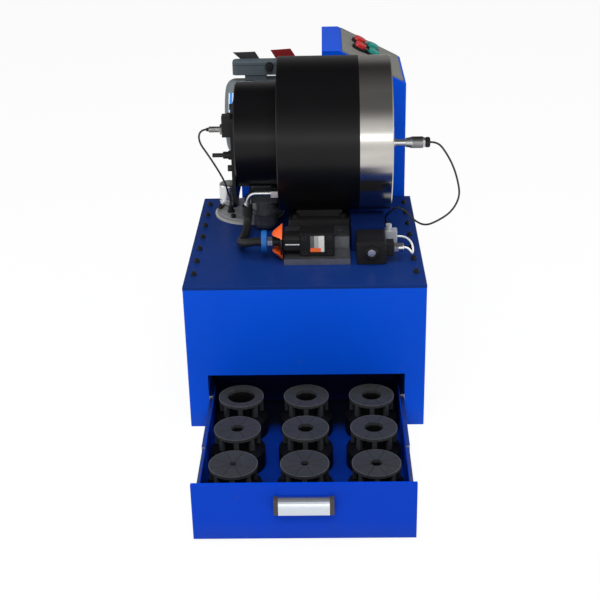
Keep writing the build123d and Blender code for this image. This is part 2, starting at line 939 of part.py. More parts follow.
def pressure_switch():
    right = relief_left() + relief_width
    front = group_front() - manifold_depth + 26
    z = deck + 0.42 * relief_height
    body = block(right, right + 1.1 * switch_width, front, front + switch_width, z - switch_height / 2, z + switch_height / 2)
    body = fillet(body.edges().filter_by(Axis.Z), 4.0)
    neck = upright(7.0, z + switch_height / 2, z + switch_height / 2 + 14, right + 10, front + 13)
    return body + neck


# Hydraulic line
def line_collar_x():
    return manifold_centre() + valve_offset - valve_width / 2 - coil_length - collar_length - line_stub_length


def line_y():
    return group_front() - manifold_depth - valve_depth / 2


def port_nut():
    y, z = port_place()
    face = Plane(origin=(chamber_start, y, z), z_dir=(-1, 0, 0)) * RegularPolygon(line_nut_size / 2, 6, major_radius=False)
    nut = extrude(face, line_nut_length)
    return chamfer(nut.edges().filter_by(Axis.X), 0.8)


def elbow_points():
    y, z = port_place()
    start = chamber_start - line_nut_length
    return [(start, y, z), (hose_x, y, z), (hose_x, y, z - line_elbow_drop)]


def port_elbow():
    path = FilletPolyline(*elbow_points(), radius=line_elbow_bend)
    section = Plane(origin=path @ 0, z_dir=path % 0) * Circle(line_elbow_diameter / 2)
    tube = sweep(section, path=path)
    y, z = port_place()
    low = z - line_elbow_drop - line_ferrule_length
    ferrule = upright(hose_diameter / 2 + line_ferrule_wall, low, z - line_elbow_drop + 2, hose_x, y)
    return tube + ferrule


def line_end():
    x = line_collar_x()
    y = line_y()
    z = valve_z()
    collar = along_x(line_collar_radius, x - line_collar_length, x, y, z)
    return chamfer(collar.edges().filter_by(GeomType.CIRCLE), 2.0)


def line_stub():
    x = line_collar_x()
    face = Plane(origin=(x, line_y(), valve_z()), z_dir=(1, 0, 0)) * RegularPolygon(10.0, 6, major_radius=False)
    return extrude(face, line_stub_length)



def tube(points, diameter, name):
    runs = [(Vector(*b) - Vector(*a)) for a, b in zip(points[:-1], points[1:])]
    radii = []
    for before, after in zip(runs[:-1], runs[1:]):
        turn = math.radians(before.get_angle(after))
        radii.append(0.45 * min(before.length, after.length) / math.tan(turn / 2))
    path = FilletPolyline(*points, radius=radii)
    section = Plane(origin=path @ 0, z_dir=path % 0) * Circle(diameter / 2)
    body = sweep(section, path=path)
    expected = math.pi * diameter**2 / 4 * path.length
    print(name, "length", round(path.length, 1), "radii", [round(r) for r in radii])
    print(name, "volume over section times length", round(body.volume / expected, 4))
    return body


def pressure_hose():
    y, z = port_place()
    end = line_collar_x() - line_collar_length
    span = y - line_y()
    thick = hose_diameter
    points = [
        (hose_x, y, z - line_elbow_drop - line_ferrule_length),
        (hose_x, y, deck + 2.0 * thick),
        (hose_x - 0.11 * thick, y - 0.138 * span, deck + 1.05 * thick),
        (hose_x - 0.44 * thick, y - 0.373 * span, deck + 0.72 * thick),
        (hose_x - 0.67 * thick, y - 0.622 * span, deck + 0.88 * thick),
        (hose_x - 0.33 * thick, y - 0.843 * span, deck + 1.44 * thick),
        (hose_x + 0.3 * thick, line_y() + 2.0, deck + 1.9 * thick),
        (end - 0.89 * thick, line_y(), valve_z()),
        (end, line_y(), valve_z()),
    ]
    return tube(points, hose_diameter, "pressure_hose")


# Return filter, access cover and filler
def return_filter():
    base = deck
    with BuildSketch(Plane.XZ) as profile:
        with BuildLine():
            foot = Line((0, base + 2), (9, base + 2))
            dome = ThreePointArc(foot @ 1, (24, base + 8), (filter_radius - 2, base + 24))
            side = Line(dome @ 1, (filter_radius, base + filter_height * 0.6))
            rim = Polyline(
                side @ 1,
                (filter_radius + 3, base + filter_height * 0.62),
                (filter_radius + 3, base + filter_height * 0.74),
                (filter_radius, base + filter_height * 0.76),
                (filter_radius, base + filter_height),
                (0, base + filter_height),
            )
            Line(rim @ 1, foot @ 0)
        make_face()
    bowl = revolve(profile.sketch, Axis.Z, 360)
    return Pos(filter_x, filter_y, 0) * bowl


def filter_tip():
    return upright(8.0, deck, deck + 2.0, filter_x, filter_y)


def filter_head():
    top = deck + filter_height
    body = block(
        filter_x - filter_radius - 4,
        filter_x + filter_radius + 4,
        filter_y - 0.8 * filter_radius,
        filter_y + 0.8 * filter_radius,
        top,
        head_z - 0.8 * rear_radius,
    )
    body = fillet(body.edges().filter_by(Axis.Z), 8.0)
    return body - along_x(rear_radius + fit_gap, rear_end - 1, chamber_start + 1)


def access_cover():
    gasket_top = deck + access_gasket
    gasket = upright(access_radius, deck, gasket_top, access_x, access_y)
    cover = upright(access_radius - 5, gasket_top, gasket_top + access_thickness, access_x, access_y)
    cover = chamfer(cover.edges().group_by(Axis.Z)[-1], 2.0)
    x, y = breather_place()
    cover = cover - upright(breather_neck_radius - 5, gasket_top - 1, gasket_top + 20, x, y)
    return gasket, cover


def access_screws():
    screws = []
    circle = access_radius - 13
    for index in range(access_screw_count):
        angle = math.radians(360.0 / access_screw_count * index)
        x = access_x + circle * math.cos(angle)
        y = access_y + circle * math.sin(angle)
        screws.append(Pos(x, y, deck + access_gasket + access_thickness) * cap_screw(edge_screw_size))
    return screws


def breather_place():
    return access_x + breather_offset_x, access_y + breather_offset_y


def breather_neck():
    x, y = breather_place()
    base = deck + access_gasket + access_thickness
    flange = upright(breather_radius - 1, base, base + 4, x, y)
    neck = upright(breather_neck_radius, base, base + breather_neck_height, x, y)
    return flange + neck - upright(breather_neck_radius - 5, base - 1, base + 30, x, y)


def breather_cap():
    x, y = breather_place()
    base = deck + access_gasket + access_thickness + breather_neck_height + running_gap
    cap = upright(breather_radius, base, base + breather_height, x, y)
    cap = fillet(cap.edges().group_by(Axis.Z)[-1], 6.0)
    groove = upright(breather_radius + 1, base + 10, base + 13, x, y) - upright(breather_radius - 2, base + 9, base + 14, x, y)
    stem = upright(breather_neck_radius - 5 - fit_gap, base - breather_neck_height + 1, base + 1, x, y)
    return cap - groove + stem


# Motor and pump
motor_end = motor_start + motor_length
pedestal_top = motor_axis_height - motor_radius - motor_fin_height - 18.0


def motor_body():
    core = along_x(motor_radius, motor_start, motor_end, motor_y, motor_axis_height)
    fins = []
    middle = (motor_start + motor_end) / 2
    for index in range(motor_fin_count):
        angle = 360.0 / motor_fin_count * (index + 0.5)
        fin = Box(motor_length - 40, motor_fin_width, motor_fin_height + 4)
        fin = Pos(0, 0, motor_radius + motor_fin_height / 2 - 2) * fin
        fins.append(Pos(middle, motor_y, motor_axis_height) * Rot(angle, 0, 0) * fin)
    body = core + fins
    shield = along_x(motor_radius + 6, motor_end - 16, motor_end, motor_y, motor_axis_height)
    back_shield = along_x(motor_radius + 6, motor_start, motor_start + 16, motor_y, motor_axis_height)
    pad = block(
        motor_start + 16,
        motor_end - 16,
        motor_y - 30,
        motor_y + 30,
        motor_axis_height,
        motor_axis_height + motor_radius + motor_fin_height,
    )
    body = body + shield + back_shield + pad
    feet = block(
        middle - 46, middle + 46, motor_y - 78, motor_y + 78, pedestal_top, motor_axis_height - 0.75 * motor_radius
    )
    arch = along_x(motor_radius - 1, motor_start - 60, motor_end + 60, motor_y, motor_axis_height)
    relief = block(middle - 80, middle + 80, motor_y - 48, motor_y + 48, pedestal_top - 1, pedestal_top + 24)
    body = body + (feet - arch - relief)
    bore = along_x(rotor_shaft_radius + fit_gap, motor_start - 1, motor_start + 60, motor_y, motor_axis_height)
    return body - bore


def fan_cowl():
    back = motor_start - cowl_length
    body = along_x(cowl_radius, back, motor_start + 14, motor_y, motor_axis_height)
    rear = body.edges().filter_by(GeomType.CIRCLE).group_by(Axis.X)[0]
    body = fillet(rear, cowl_shoulder)
    inner_radius = cowl_radius - cowl_sheet
    inner = along_x(inner_radius, back + cowl_sheet, motor_start + 15, motor_y, motor_axis_height)
    rear = inner.edges().filter_by(GeomType.CIRCLE).group_by(Axis.X)[0]
    inner = fillet(rear, cowl_shoulder - cowl_sheet)
    body = body - inner
    for ring in range(3):
        outer = 22 + 20 * ring
        slot = along_x(outer + 8, back - 1, back + cowl_sheet + 1, motor_y, motor_axis_height)
        slot = slot - along_x(outer, back - 2, back + cowl_sheet + 2, motor_y, motor_axis_height)
        cross_z = Pos(back, motor_y, motor_axis_height) * Box(20, 6, 4 * outer)
        cross_y = Pos(back, motor_y, motor_axis_height) * Box(20, 4 * outer, 6)
        body = body - (slot - cross_z - cross_y)
    return body


def cowl_seat():
    outer = along_x(cowl_radius - cowl_sheet, motor_start + 2, motor_start + 12, motor_y, motor_axis_height)
    return outer - along_x(motor_radius + 6, motor_start, motor_start + 20, motor_y, motor_axis_height)


def motor_rotor():
    back = motor_start - cowl_length + cowl_sheet + 12
    shaft = along_x(rotor_shaft_radius, back, motor_start + 55, motor_y, motor_axis_height)
    hub = along_x(rotor_shaft_radius + 10, back + 4, motor_start - 6, motor_y, motor_axis_height)
    fan = shaft + hub
    for index in range(fan_blade_count):
        angle = 360.0 / fan_blade_count * index
        blade = Pos(0, 0, (rotor_shaft_radius + 6 + fan_radius) / 2) * Box(
            24, 3, fan_radius - rotor_shaft_radius - 6
        )
        fan = fan + Pos((back + motor_start) / 2, motor_y, motor_axis_height) * Rot(angle, 0, 0) * blade
    return fan


def terminal_box():
    middle = motor_start + 0.5 * terminal_length - terminal_shift
    base = motor_axis_height + motor_radius + motor_fin_height + terminal_neck
    body = block(
        middle - terminal_length / 2,
        middle + terminal_length / 2,
        motor_y - terminal_depth / 2,
        motor_y + terminal_depth / 2,
        base,
        base + terminal_height,
    )
    body = fillet(body.edges().filter_by(Axis.Z), 12.0)
    body = fillet(body.edges().group_by(Axis.Z)[-1], 5.0)
    half_neck = terminal_depth / 2 - 4
    body = body + block(middle - 2 * half_neck, middle + 2 * half_neck, motor_y - half_neck, motor_y + half_neck, base - terminal_neck, base + 1)
    seam = base + 0.68 * terminal_height
    groove = block(middle - 80, middle + 80, motor_y - 80, motor_y + 80, seam, seam + 1.5)
    slim = block(
        middle - terminal_length / 2 + 1.5,
        middle + terminal_length / 2 - 1.5,
        motor_y - terminal_depth / 2 + 1.5,
        motor_y + terminal_depth / 2 - 1.5,
        seam,
        seam + 1.5,
    )
    slim = fillet(slim.edges().filter_by(Axis.Z), 11.0)
    return body - (groove - slim)


def gland_place():
    middle = motor_start + 0.5 * terminal_length - terminal_shift
    base = motor_axis_height + motor_radius + motor_fin_height + terminal_neck
    return middle + terminal_length / 2 - 24, motor_y - terminal_depth / 2, base + 0.64 * terminal_height


def terminal_gland():
    x, y, z = gland_place()
    body = along_y(11, y - 10, y, x, z)
    dome = along_y(8.5, y - 20, y - 9, x, z)
    dome = fillet(dome.edges().filter_by(GeomType.CIRCLE).group_by(Axis.Y)[0], 2.0)
    return body + dome


def pump_bell():
    body = Pos(motor_end + bell_length / 2, motor_y, motor_axis_height) * Rot(0, 90, 0) * Cone(
        motor_radius - 6, pump_radius + 8, bell_length
    )
    window = block(
        motor_end + 6, motor_end + bell_length - 5, motor_y - 18, motor_y + 18, motor_axis_height, motor_axis_height + 90
    )
    return body - window


def gear_pump():
    start = motor_end + bell_length
    flange = along_x(pump_radius + 8, start, start + 8, motor_y, motor_axis_height)
    body = block(
        start + 8,
        start + pump_length,
        motor_y - 0.8 * pump_radius,
        motor_y + 0.8 * pump_radius,
        motor_axis_height - pump_radius,
        motor_axis_height + pump_radius,
    )
    body = fillet(body.edges().filter_by(Axis.X), 22.0)
    cover = start + pump_length - 10
    seam = block(cover, cover + 1.2, motor_y - 80, motor_y + 80, motor_axis_height - 80, motor_axis_height + 80)
    core = along_x(0.7 * pump_radius, cover - 1, cover + 3, motor_y, motor_axis_height)
    return flange + (body - (seam - core))


def motor_pedestal():
    middle = (motor_start + motor_end) / 2
    x0, x1 = middle - pedestal_width / 2, middle + pedestal_width / 2
    y0 = cabinet_depth / 2
    y1 = y0 + pedestal_depth
    skin = block(x0, x1, y0, y1, 0, pedestal_top)
    hollow = block(
        x0 + pedestal_wall, x1 - pedestal_wall, y0 + pedestal_wall, y1 + 1, 3.0, pedestal_top - pedestal_plate
    )
    return fillet(skin.edges().filter_by(Axis.Z), 3.0) - hollow


# Console
def console_profile(inset=0.0):
    left = console_left + inset
    right = console_left + console_width - inset
    lip = console_lip_height - inset
    ridge = console_ridge_height - inset
    bend = console_left + console_ridge_width - 0.3 * inset
    base = 0.0 + inset
    return Polyline(
        (left, base), (right, base), (right, lip), (bend, ridge), (left, ridge), close=True
    )


def console_plane(y):
    return Plane(origin=(0, y, 0), x_dir=(1, 0, 0), z_dir=(0, -1, 0))


def console_near():
    return cabinet_depth / 2


def panel_frame():
    low = Vector(console_left + console_width, 0, console_lip_height)
    high = Vector(console_left + console_ridge_width, 0, console_ridge_height)
    return low, (high - low)


def console_cabinet():
    near = console_near()
    shell = extrude(console_plane(near) * make_face(console_profile()), -console_depth)
    hollow = extrude(
        console_plane(near + console_wall) * make_face(console_profile(console_wall)),
        -(console_depth - 2 * console_wall),
    )
    return shell - hollow - panel_prism(panel_border + 5, 3 * console_wall, -2 * console_wall)


def panel_place(along, across, lift=0.0):
    low, slope = panel_frame()
    direction = slope.normalized()
    centre = low + direction * along
    near = console_near()
    normal = Vector(-direction.Z, 0, direction.X)
    if normal.Z < 0:
        normal = normal * -1
    centre = centre + normal * lift
    return Plane(origin=(centre.X, near + across, centre.Z), x_dir=(0, 1, 0), z_dir=(normal.X, 0, normal.Z))


def panel_prism(border, rise, drop):
    low, slope = panel_frame()
    length = slope.length
    place = panel_place(length / 2, console_depth / 2, drop)
    side = Rectangle(console_depth - 2 * border, length - 2 * border)
    return extrude(place * side, rise - drop)


def button_spots():
    low, slope = panel_frame()
    spots = []
    for row in (-1, 1):
        for column in (-1, 1):
            along = slope.length / 2 + 18.0 + row * button_pitch_along / 2
            across = console_depth / 2 + 8.0 + column * button_pitch_across / 2
            spots.append((along, across))
    return spots


def console_panel():
    sheet = panel_prism(panel_border, panel_thickness, 0.0)
    sheet = chamfer(sheet.edges().group_by(Axis.Z)[-1], 0.5)
    for along, across in button_spots():
        hole = extrude(panel_place(along, across, -5) * Circle(button_stem_radius + 4), 20)
        sheet = sheet - hole
    return sheet


def button_bezels():
    bezels = []
    for along, across in button_spots():
        base = panel_place(along, across, panel_thickness)
        outer = extrude(base * Circle(button_bezel_radius), button_bezel_height)
        sleeve = extrude(panel_place(along, across, -26) * Circle(button_stem_radius + 3.5), 26 + panel_thickness)
        well = extrude(base * Circle(button_radius + running_gap), button_bezel_height + 1)
        bottom = extrude(base * Circle(button_radius + running_gap + 1), 1.5)
        stem_hole = extrude(panel_place(along, across, -40) * Circle(button_stem_radius + fit_gap), 80)
        bezels.append((outer - well) + bottom + sleeve - stem_hole)
    return Compound(children=bezels)


def push_button(spot):
    along, across = spot
    low = panel_thickness + 1.5 + button_travel + 1.0
    cap = extrude(panel_place(along, across, low) * Circle(button_radius), button_height - 6)
    cap = fillet(cap.edges().group_by(Axis.Z)[-1], 2.0)
    stem = extrude(panel_place(along, across, -20) * Circle(button_stem_radius), 20 + low + 1)
    return cap + stem


# Cords
def micrometer_cord():
    y = micrometer_y()
    z = micrometer_z()
    start = ring_front + thimble_start + thimble_length + cap_end_gap + micrometer_cap_length
    points = [
        (start, y, z),
        (start + 18, y, z),
        (start + 37, y - 4, z - 24),
        (start + 54, y - 9, z - 55),
        (start + 66, y - 13, z - 92),
        (start + 71, y - 18, z - 127),
        (start + 54, y - 20, z - 162),
        (start + 24, y - 20, z - 191),
        (start - 10, y - 16, z - 209),
        (start - 36, y - 8, z - 197),
        (start - 56, y + 4, z - 175),
        (start - 76, y + 20, z - 173),
        (start - 90, y + 40, z - 195),
        (start - 95, y + 66, z - 209),
        (start - 95, micrometer_gland_y, z - 221),
        (start - 95, micrometer_gland_y, deck + cord_gland_height),
    ]
    return tube(points, cord_diameter, "micrometer_cord")


def sensor_cord():
    y, z = sensor_place()
    start = rear_end - bracket_thickness + 3.0 - sensor_block_length - sensor_length - 6
    run = sensor_gland_y - y
    points = [
        (start, y, z),
        (start - 8, y, z),
        (start - 19, y - 1, z - 11),
        (start - 20, y - 3, z - 32),
        (start - 8, y - 4, z - 58),
        (start + 6, y - 5, z - 84),
        (start + 20, y - 4, z - 110),
        (start + 30, y + 2, z - 134),
        (start + 33, y + 16, z - 158),
        (start + 34, y + 0.315 * run, z - 180),
        (start + 35, y + 0.555 * run, z - 192),
        (start + 37, y + 0.795 * run, z - 200),
        (sensor_gland_x, sensor_gland_y, z - 213),
        (sensor_gland_x, sensor_gland_y, deck + access_gasket + access_thickness + cord_gland_height),
    ]
    return tube(points, cord_diameter, "sensor_cord")


def plug_lead():
    left, y, z = plug_place()
    start = left + plug_width / 2 + plug_gland_length
    end = relief_left() + relief_width + 1.1 * switch_width
    end_y = group_front() - manifold_depth + 26 + switch_width / 2
    end_z = deck + 0.42 * relief_height
    run = end_y - y
    points = [
        (start, y, z),
        (start + 9, y, z),
        (start + 18, y - 8, z - 9),
        (start + 20, y + 0.03 * run, z - 17),
        (start + 24, y + 0.30 * run, z - 17),
        (start + 22, y + 0.57 * run, z - 9),
        (start + 14, y + 0.84 * run, end_z),
        (end + 13, end_y, end_z),
        (end, end_y, end_z),
    ]
    return tube(points, plug_lead_diameter, "plug_lead")


def cord_glands():
    start = ring_front + thimble_start + thimble_length + cap_end_gap + micrometer_cap_length
    cover_top = deck + access_gasket + access_thickness
    spots = [(start - 95, micrometer_gland_y, deck), (sensor_gland_x, sensor_gland_y, cover_top)]
    glands = []
    for x, y, base in spots:
        nut = extrude(Plane(origin=(x, y, base)) * RegularPolygon(9.0, 6), 6.0)
        dome = upright(6.5, base, base + cord_gland_height, x, y)
        dome = chamfer(dome.edges().group_by(Axis.Z)[-1], 1.5)
        glands.append(nut + dome)
    return glands


save(cabinet_shell(), "cabinet_shell")
save(top_plate(), "top_plate")
save(Compound(children=edge_screws() + bracket_screws() + foot_screws()), "cap_screws")
save(drawer_tray(), "drawer_tray")
save(drawer_front(), "drawer_front")
save(Compound(children=[drawer_handle()] + handle_caps()), "drawer_handle")
save(slide_outer(), "slide_outer")
save(slide_middle(), "slide_middle")
save(slide_inner(), "slide_inner")
save(die_row(die_bores_front, 0), "die_row_front")
save(die_row(die_bores_middle, 1), "die_row_middle")
save(die_row(die_bores_back, 2), "die_row_back")
save(chamber(), "main_cylinder")
save(front_ring(), "front_ring")
save(rear_cylinder(), "rear_cylinder")
save(Compound(children=[ram(), limit_rod()]), "ram")
for number, die in enumerate(master_dies()):
    save(die, "master_die_" + str(number + 1))
save(Compound(children=[rear_bracket(), rod_gland(), sensor_block()]), "rear_bracket")
save(proximity_sensor(), "proximity_sensor")
save(head_foot(), "head_foot")
save(micrometer_sleeve(), "micrometer_sleeve")
save(micrometer_thimble(), "micrometer_thimble")
save(micrometer_cap(), "micrometer_cap")
save(micrometer_cord(), "micrometer_cord")
save(sensor_cord(), "sensor_cord")
save(plug_lead(), "plug_lead")
save(Compound(children=cord_glands()), "cord_glands")
save(valve_manifold(), "valve_manifold")
body, screws = valve_body()
save(Compound(children=[body, screws]), "valve_body")
save(valve_coil(), "valve_coil")
save(coil_collar(), "coil_collar")
save(relief_block(), "relief_block")
body, stud = relief_coil()
save(Compound(children=[body, stud]), "relief_coil")
save(Compound(children=[cable_plug(), plug_gland()]), "cable_plug")
save(pressure_switch(), "pressure_switch")
save(Compound(children=[port_nut(), port_elbow(), line_stub()]), "line_fittings")
save(line_end(), "line_collar")
save(pressure_hose(), "pressure_hose")
save(Compound(children=[return_filter(), filter_tip(), filter_head()]), "return_filter")
gasket, cover = access_cover()
save(Compound(children=[gasket, cover, breather_neck()] + access_screws()), "access_cover")
save(breather_cap(), "breather_cap")
save(motor_body(), "motor_body")
save(Compound(children=[fan_cowl(), cowl_seat()]), "fan_cowl")
save(motor_rotor(), "motor_rotor")
save(Compound(children=[terminal_box(), terminal_gland()]), "terminal_box")
save(Compound(children=[pump_bell(), gear_pump()]), "gear_pump")
save(motor_pedestal(), "motor_pedestal")
save(console_cabinet(), "console_cabinet")
save(Compound(children=[console_panel(), button_bezels()]), "console_panel")
for spot, name in zip(button_spots(), ("start_green", "stop_green", "start_red", "stop_red")):
    save(push_button(spot), "button_" + name)
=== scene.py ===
import math

import bmesh
import bpy
from mathutils import Matrix, Vector


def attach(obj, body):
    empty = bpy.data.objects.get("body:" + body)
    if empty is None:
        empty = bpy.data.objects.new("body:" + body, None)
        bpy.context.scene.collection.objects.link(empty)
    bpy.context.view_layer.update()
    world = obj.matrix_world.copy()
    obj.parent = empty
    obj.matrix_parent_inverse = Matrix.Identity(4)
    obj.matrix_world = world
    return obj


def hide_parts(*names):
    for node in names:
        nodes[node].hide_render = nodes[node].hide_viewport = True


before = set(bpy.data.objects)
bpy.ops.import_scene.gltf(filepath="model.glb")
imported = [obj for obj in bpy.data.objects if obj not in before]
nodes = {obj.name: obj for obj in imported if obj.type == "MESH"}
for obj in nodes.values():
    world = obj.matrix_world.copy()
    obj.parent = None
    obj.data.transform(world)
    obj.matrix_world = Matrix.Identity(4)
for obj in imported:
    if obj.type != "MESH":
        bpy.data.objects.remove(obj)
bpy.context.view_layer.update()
bpy.ops.object.select_all(action="DESELECT")

# Camera, in front of the drawer and above the crimp head, looking down on it.
# Its long lens keeps the cabinet's upright edges nearly parallel.
yaw = math.radians(-1.443)
pitch = math.radians(24.856)
roll = math.radians(-1.258)
level_right = Vector((math.cos(yaw), -math.sin(yaw), 0))
level_ahead = Vector((math.sin(yaw), math.cos(yaw), 0))
ahead = level_ahead * math.cos(pitch) - Vector((0, 0, 1)) * math.sin(pitch)
above = Vector((0, 0, 1)) * math.cos(pitch) + level_ahead * math.sin(pitch)
side = level_right * math.cos(roll) + above * math.sin(roll)
above = above * math.cos(roll) - level_right * math.sin(roll)
bpy.ops.object.camera_add(location=(0.0505, -2.6996, 1.4400))
camera = bpy.context.object
camera.name = "studio_camera"
facing = Matrix((side, above, -ahead)).transposed().to_4x4()
camera.matrix_world = Matrix.Translation(camera.location) @ facing
camera.data.sensor_fit = "HORIZONTAL"
camera.data.sensor_width = 36.0
camera.data.lens = 72.23
bpy.context.scene.camera = camera
bpy.context.scene.view_settings.view_transform = "Standard"


# Light tent: a soft panel overhead, a high key in front, and weak panels at the sides.
# A low strip in front draws the bright band on the chrome ring and the black cylinder.
def soft_panel(name, place, aim, width, height, power):
    bpy.ops.object.light_add(type="AREA", location=place)
    lamp = bpy.context.object
    lamp.name = name
    lamp.data.shape = "RECTANGLE"
    lamp.data.size = width
    lamp.data.size_y = height
    lamp.data.energy = power
    lamp.rotation_euler = (Vector(aim) - Vector(place)).to_track_quat("-Z", "Y").to_euler()
    return bpy.context.object


overhead = soft_panel("panel_overhead", (0.1, -0.3, 3.2), (0.0, 0.0, 0.4), 2.6, 1.6, 40)
key = soft_panel("panel_key", (-0.2, -2.7, 3.3), (0.0, -0.2, 0.3), 2.4, 1.2, 92)
overhead.visible_glossy = key.visible_glossy = False
soft_panel("strip_front", (0.0, -3.7, 1.25), (0.0, 0.0, 0.5), 3.2, 0.55, 13)
soft_panel("panel_left", (-2.9, -0.4, 1.2), (0.0, 0.0, 0.5), 1.2, 1.4, 12)
soft_panel("panel_right", (2.9, -0.6, 1.2), (0.0, 0.0, 0.5), 1.2, 1.4, 12)


# Shader values that take Python's arithmetic, and one finish for each real surface.
# The first finish made with them is the studio floor's.
class Value:
    def __init__(self, finish, socket):
        self.finish = finish
        self.socket = socket

    def maths(self, operation, *terms, clamp=False):
        settings = {"operation": operation, "use_clamp": clamp}
        return self.finish.add("ShaderNodeMath", settings, dict(enumerate(terms)))

    def __add__(self, other):
        return self.maths("ADD", self, other)

    def __radd__(self, other):
        return self.maths("ADD", other, self)

    def __sub__(self, other):
        return self.maths("SUBTRACT", self, other)

    def __rsub__(self, other):
        return self.maths("SUBTRACT", other, self)

    def __mul__(self, other):
        return self.maths("MULTIPLY", self, other)

    def __rmul__(self, other):
        return self.maths("MULTIPLY", other, self)

    def __pow__(self, other):
        return self.maths("POWER", self, other)

    def __gt__(self, other):
        return self.maths("GREATER_THAN", self, other)

    def __lt__(self, other):
        return self.maths("LESS_THAN", self, other)

    def sine(self):
        return self.maths("SINE", self)

    def wrap(self, span):
        return self.maths("FLOORED_MODULO", self, span)

    def clamped(self):
        return self.maths("ADD", self, 0.0, clamp=True)


class Finish:
    def __init__(self, name, **shader):
        self.material = bpy.data.materials.new(name)
        self.material.use_nodes = True
        self.tree = self.material.node_tree
        self.shader = self.tree.nodes["Principled BSDF"]
        self.set(**shader)

    def set(self, **shader):
        for name, value in shader.items():
            self.link(self.shader.inputs[name.replace("_", " ")], value)

    def link(self, socket, value):
        if isinstance(value, Value):
            self.tree.links.new(value.socket, socket)
        elif isinstance(value, tuple) and socket.type == "RGBA":
            socket.default_value = (*value[:3], 1.0)
        else:
            socket.default_value = value

    def add(self, kind, settings=None, sockets=None, out=0):
        node = self.tree.nodes.new(kind)
        for name, value in (settings or {}).items():
            setattr(node, name, value)
        for key, value in (sockets or {}).items():
            self.link(node.inputs[key], value)
        return Value(self, node.outputs[out])

    def place(self, scale=(1.0, 1.0, 1.0), shift=(0.0, 0.0, 0.0), turn=(0.0, 0.0, 0.0)):
        where = self.add("ShaderNodeTexCoord", out="Object")
        sockets = {"Vector": where, "Location": shift, "Rotation": turn, "Scale": scale}
        return self.add("ShaderNodeMapping", {"vector_type": "POINT"}, sockets)

    def axes(self, vector):
        return [self.add("ShaderNodeSeparateXYZ", None, {0: vector}, out=index) for index in range(3)]

    def noise(self, vector, scale, detail=3.0, roughness=0.55):
        sockets = {"Vector": vector, "Scale": scale, "Detail": detail, "Roughness": roughness}
        return self.add("ShaderNodeTexNoise", None, sockets)

    def mix(self, share, first, second):
        sockets = {"Factor": share, 6: first, 7: second}
        return self.add("ShaderNodeMix", {"data_type": "RGBA"}, sockets, out=2)

    def ease(self, value, low, high):
        sockets = {0: value, 1: low, 2: high}
        return self.add("ShaderNodeMapRange", {"interpolation_type": "SMOOTHSTEP"}, sockets)

    def bump(self, height, strength, distance):
        sockets = {"Height": height, "Strength": strength, "Distance": distance}
        self.set(Normal=self.add("ShaderNodeBump", None, sockets))


floor_finish = Finish("studio_floor", Base_Color=(0.93, 0.93, 0.935), Roughness=0.9)
grain = floor_finish.noise(floor_finish.place(), 3.0)
floor_finish.set(Roughness=0.85 + 0.1 * grain)
seen = floor_finish.add("ShaderNodeLightPath", out="Is Camera Ray")
for name in ("Is Glossy Ray", "Is Transmission Ray"):
    seen = seen + floor_finish.add("ShaderNodeLightPath", out=name)
glow = floor_finish.add("ShaderNodeEmission", None, {"Color": (1.0, 1.0, 1.0), "Strength": 1.0})
lit = Value(floor_finish, floor_finish.shader.outputs[0])
floor_glow = 0.93
both = floor_finish.add("ShaderNodeMixShader", None, {0: floor_glow * seen.clamped(), 1: lit, 2: glow})
floor_finish.link(floor_finish.tree.nodes["Material Output"].inputs["Surface"], both)
floor_span = 14.0
floor_drop = 0.0004
bpy.ops.mesh.primitive_plane_add(size=floor_span, location=(0, 0, -floor_drop))
floor = bpy.context.object
floor.name = "studio_floor"
floor.data.materials.append(floor_finish.material)

# World: white behind the machine, and a dim even fill on its surfaces.
# Polished metal sees a bright horizon in front, a grey one behind and a dark ceiling.
world = bpy.data.worlds.new("studio_world")
bpy.context.scene.world = world
world.use_nodes = True
# The finish's node calls serve the world's own tree here, without a material.
studio = Finish.__new__(Finish)
studio.tree = world.node_tree
sky = world.node_tree.nodes["Background"]
toward = studio.axes(studio.add("ShaderNodeTexCoord", out="Generated"))
ceiling = studio.ease(toward[2], 0.35, 0.8)
behind = studio.ease(toward[1], -0.3, 0.7)
seen_in_metal = (0.95 - 0.7 * behind) * (1.0 - 0.85 * ceiling)
ray_kinds = ("Is Camera Ray", "Is Glossy Ray", "Is Transmission Ray")
ray = {name: studio.add("ShaderNodeLightPath", out=name) for name in ray_kinds}
plain_white = (ray["Is Camera Ray"] + ray["Is Transmission Ray"]).clamped()
fill = 0.4 * (1.0 - plain_white - ray["Is Glossy Ray"]).clamped()
strength = plain_white + ray["Is Glossy Ray"] * seen_in_metal + fill
studio.link(sky.inputs["Strength"], strength)
sky.inputs["Color"].default_value = (1.0, 1.0, 1.0, 1.0)


# Signal cord from the micrometer cap down to its gland on the deck.
# Black PVC round cable, pushed into the cap and held by a nylon gland.
cord_black = Finish("cord_black", Base_Color=(0.012, 0.012, 0.013), Roughness=0.42)
fine = cord_black.noise(cord_black.place(), 900.0, 2.0)
cord_black.set(Roughness=0.34 + 0.2 * fine)
cord_black.bump(fine, 0.12, 0.0004)


def free_cord(
    name, points, diameter, finish, body
):
    curve = bpy.data.curves.new(name, "CURVE")
    curve.dimensions = "3D"
    curve.resolution_u = 8
    curve.bevel_depth = diameter / 2
    curve.bevel_resolution = 5
    curve.use_fill_caps = True
    line = curve.splines.new("NURBS")
    line.points.add(len(points) - 1)
    for point, place in zip(line.points, points):
        point.co = (*place, 1.0)
    line.order_u = 3
    line.use_endpoint_u = True
    piece = bpy.data.objects.new(name, curve)
    bpy.context.scene.collection.objects.link(piece)
    curve.materials.append(finish.material)
    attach(piece, body)
    return piece


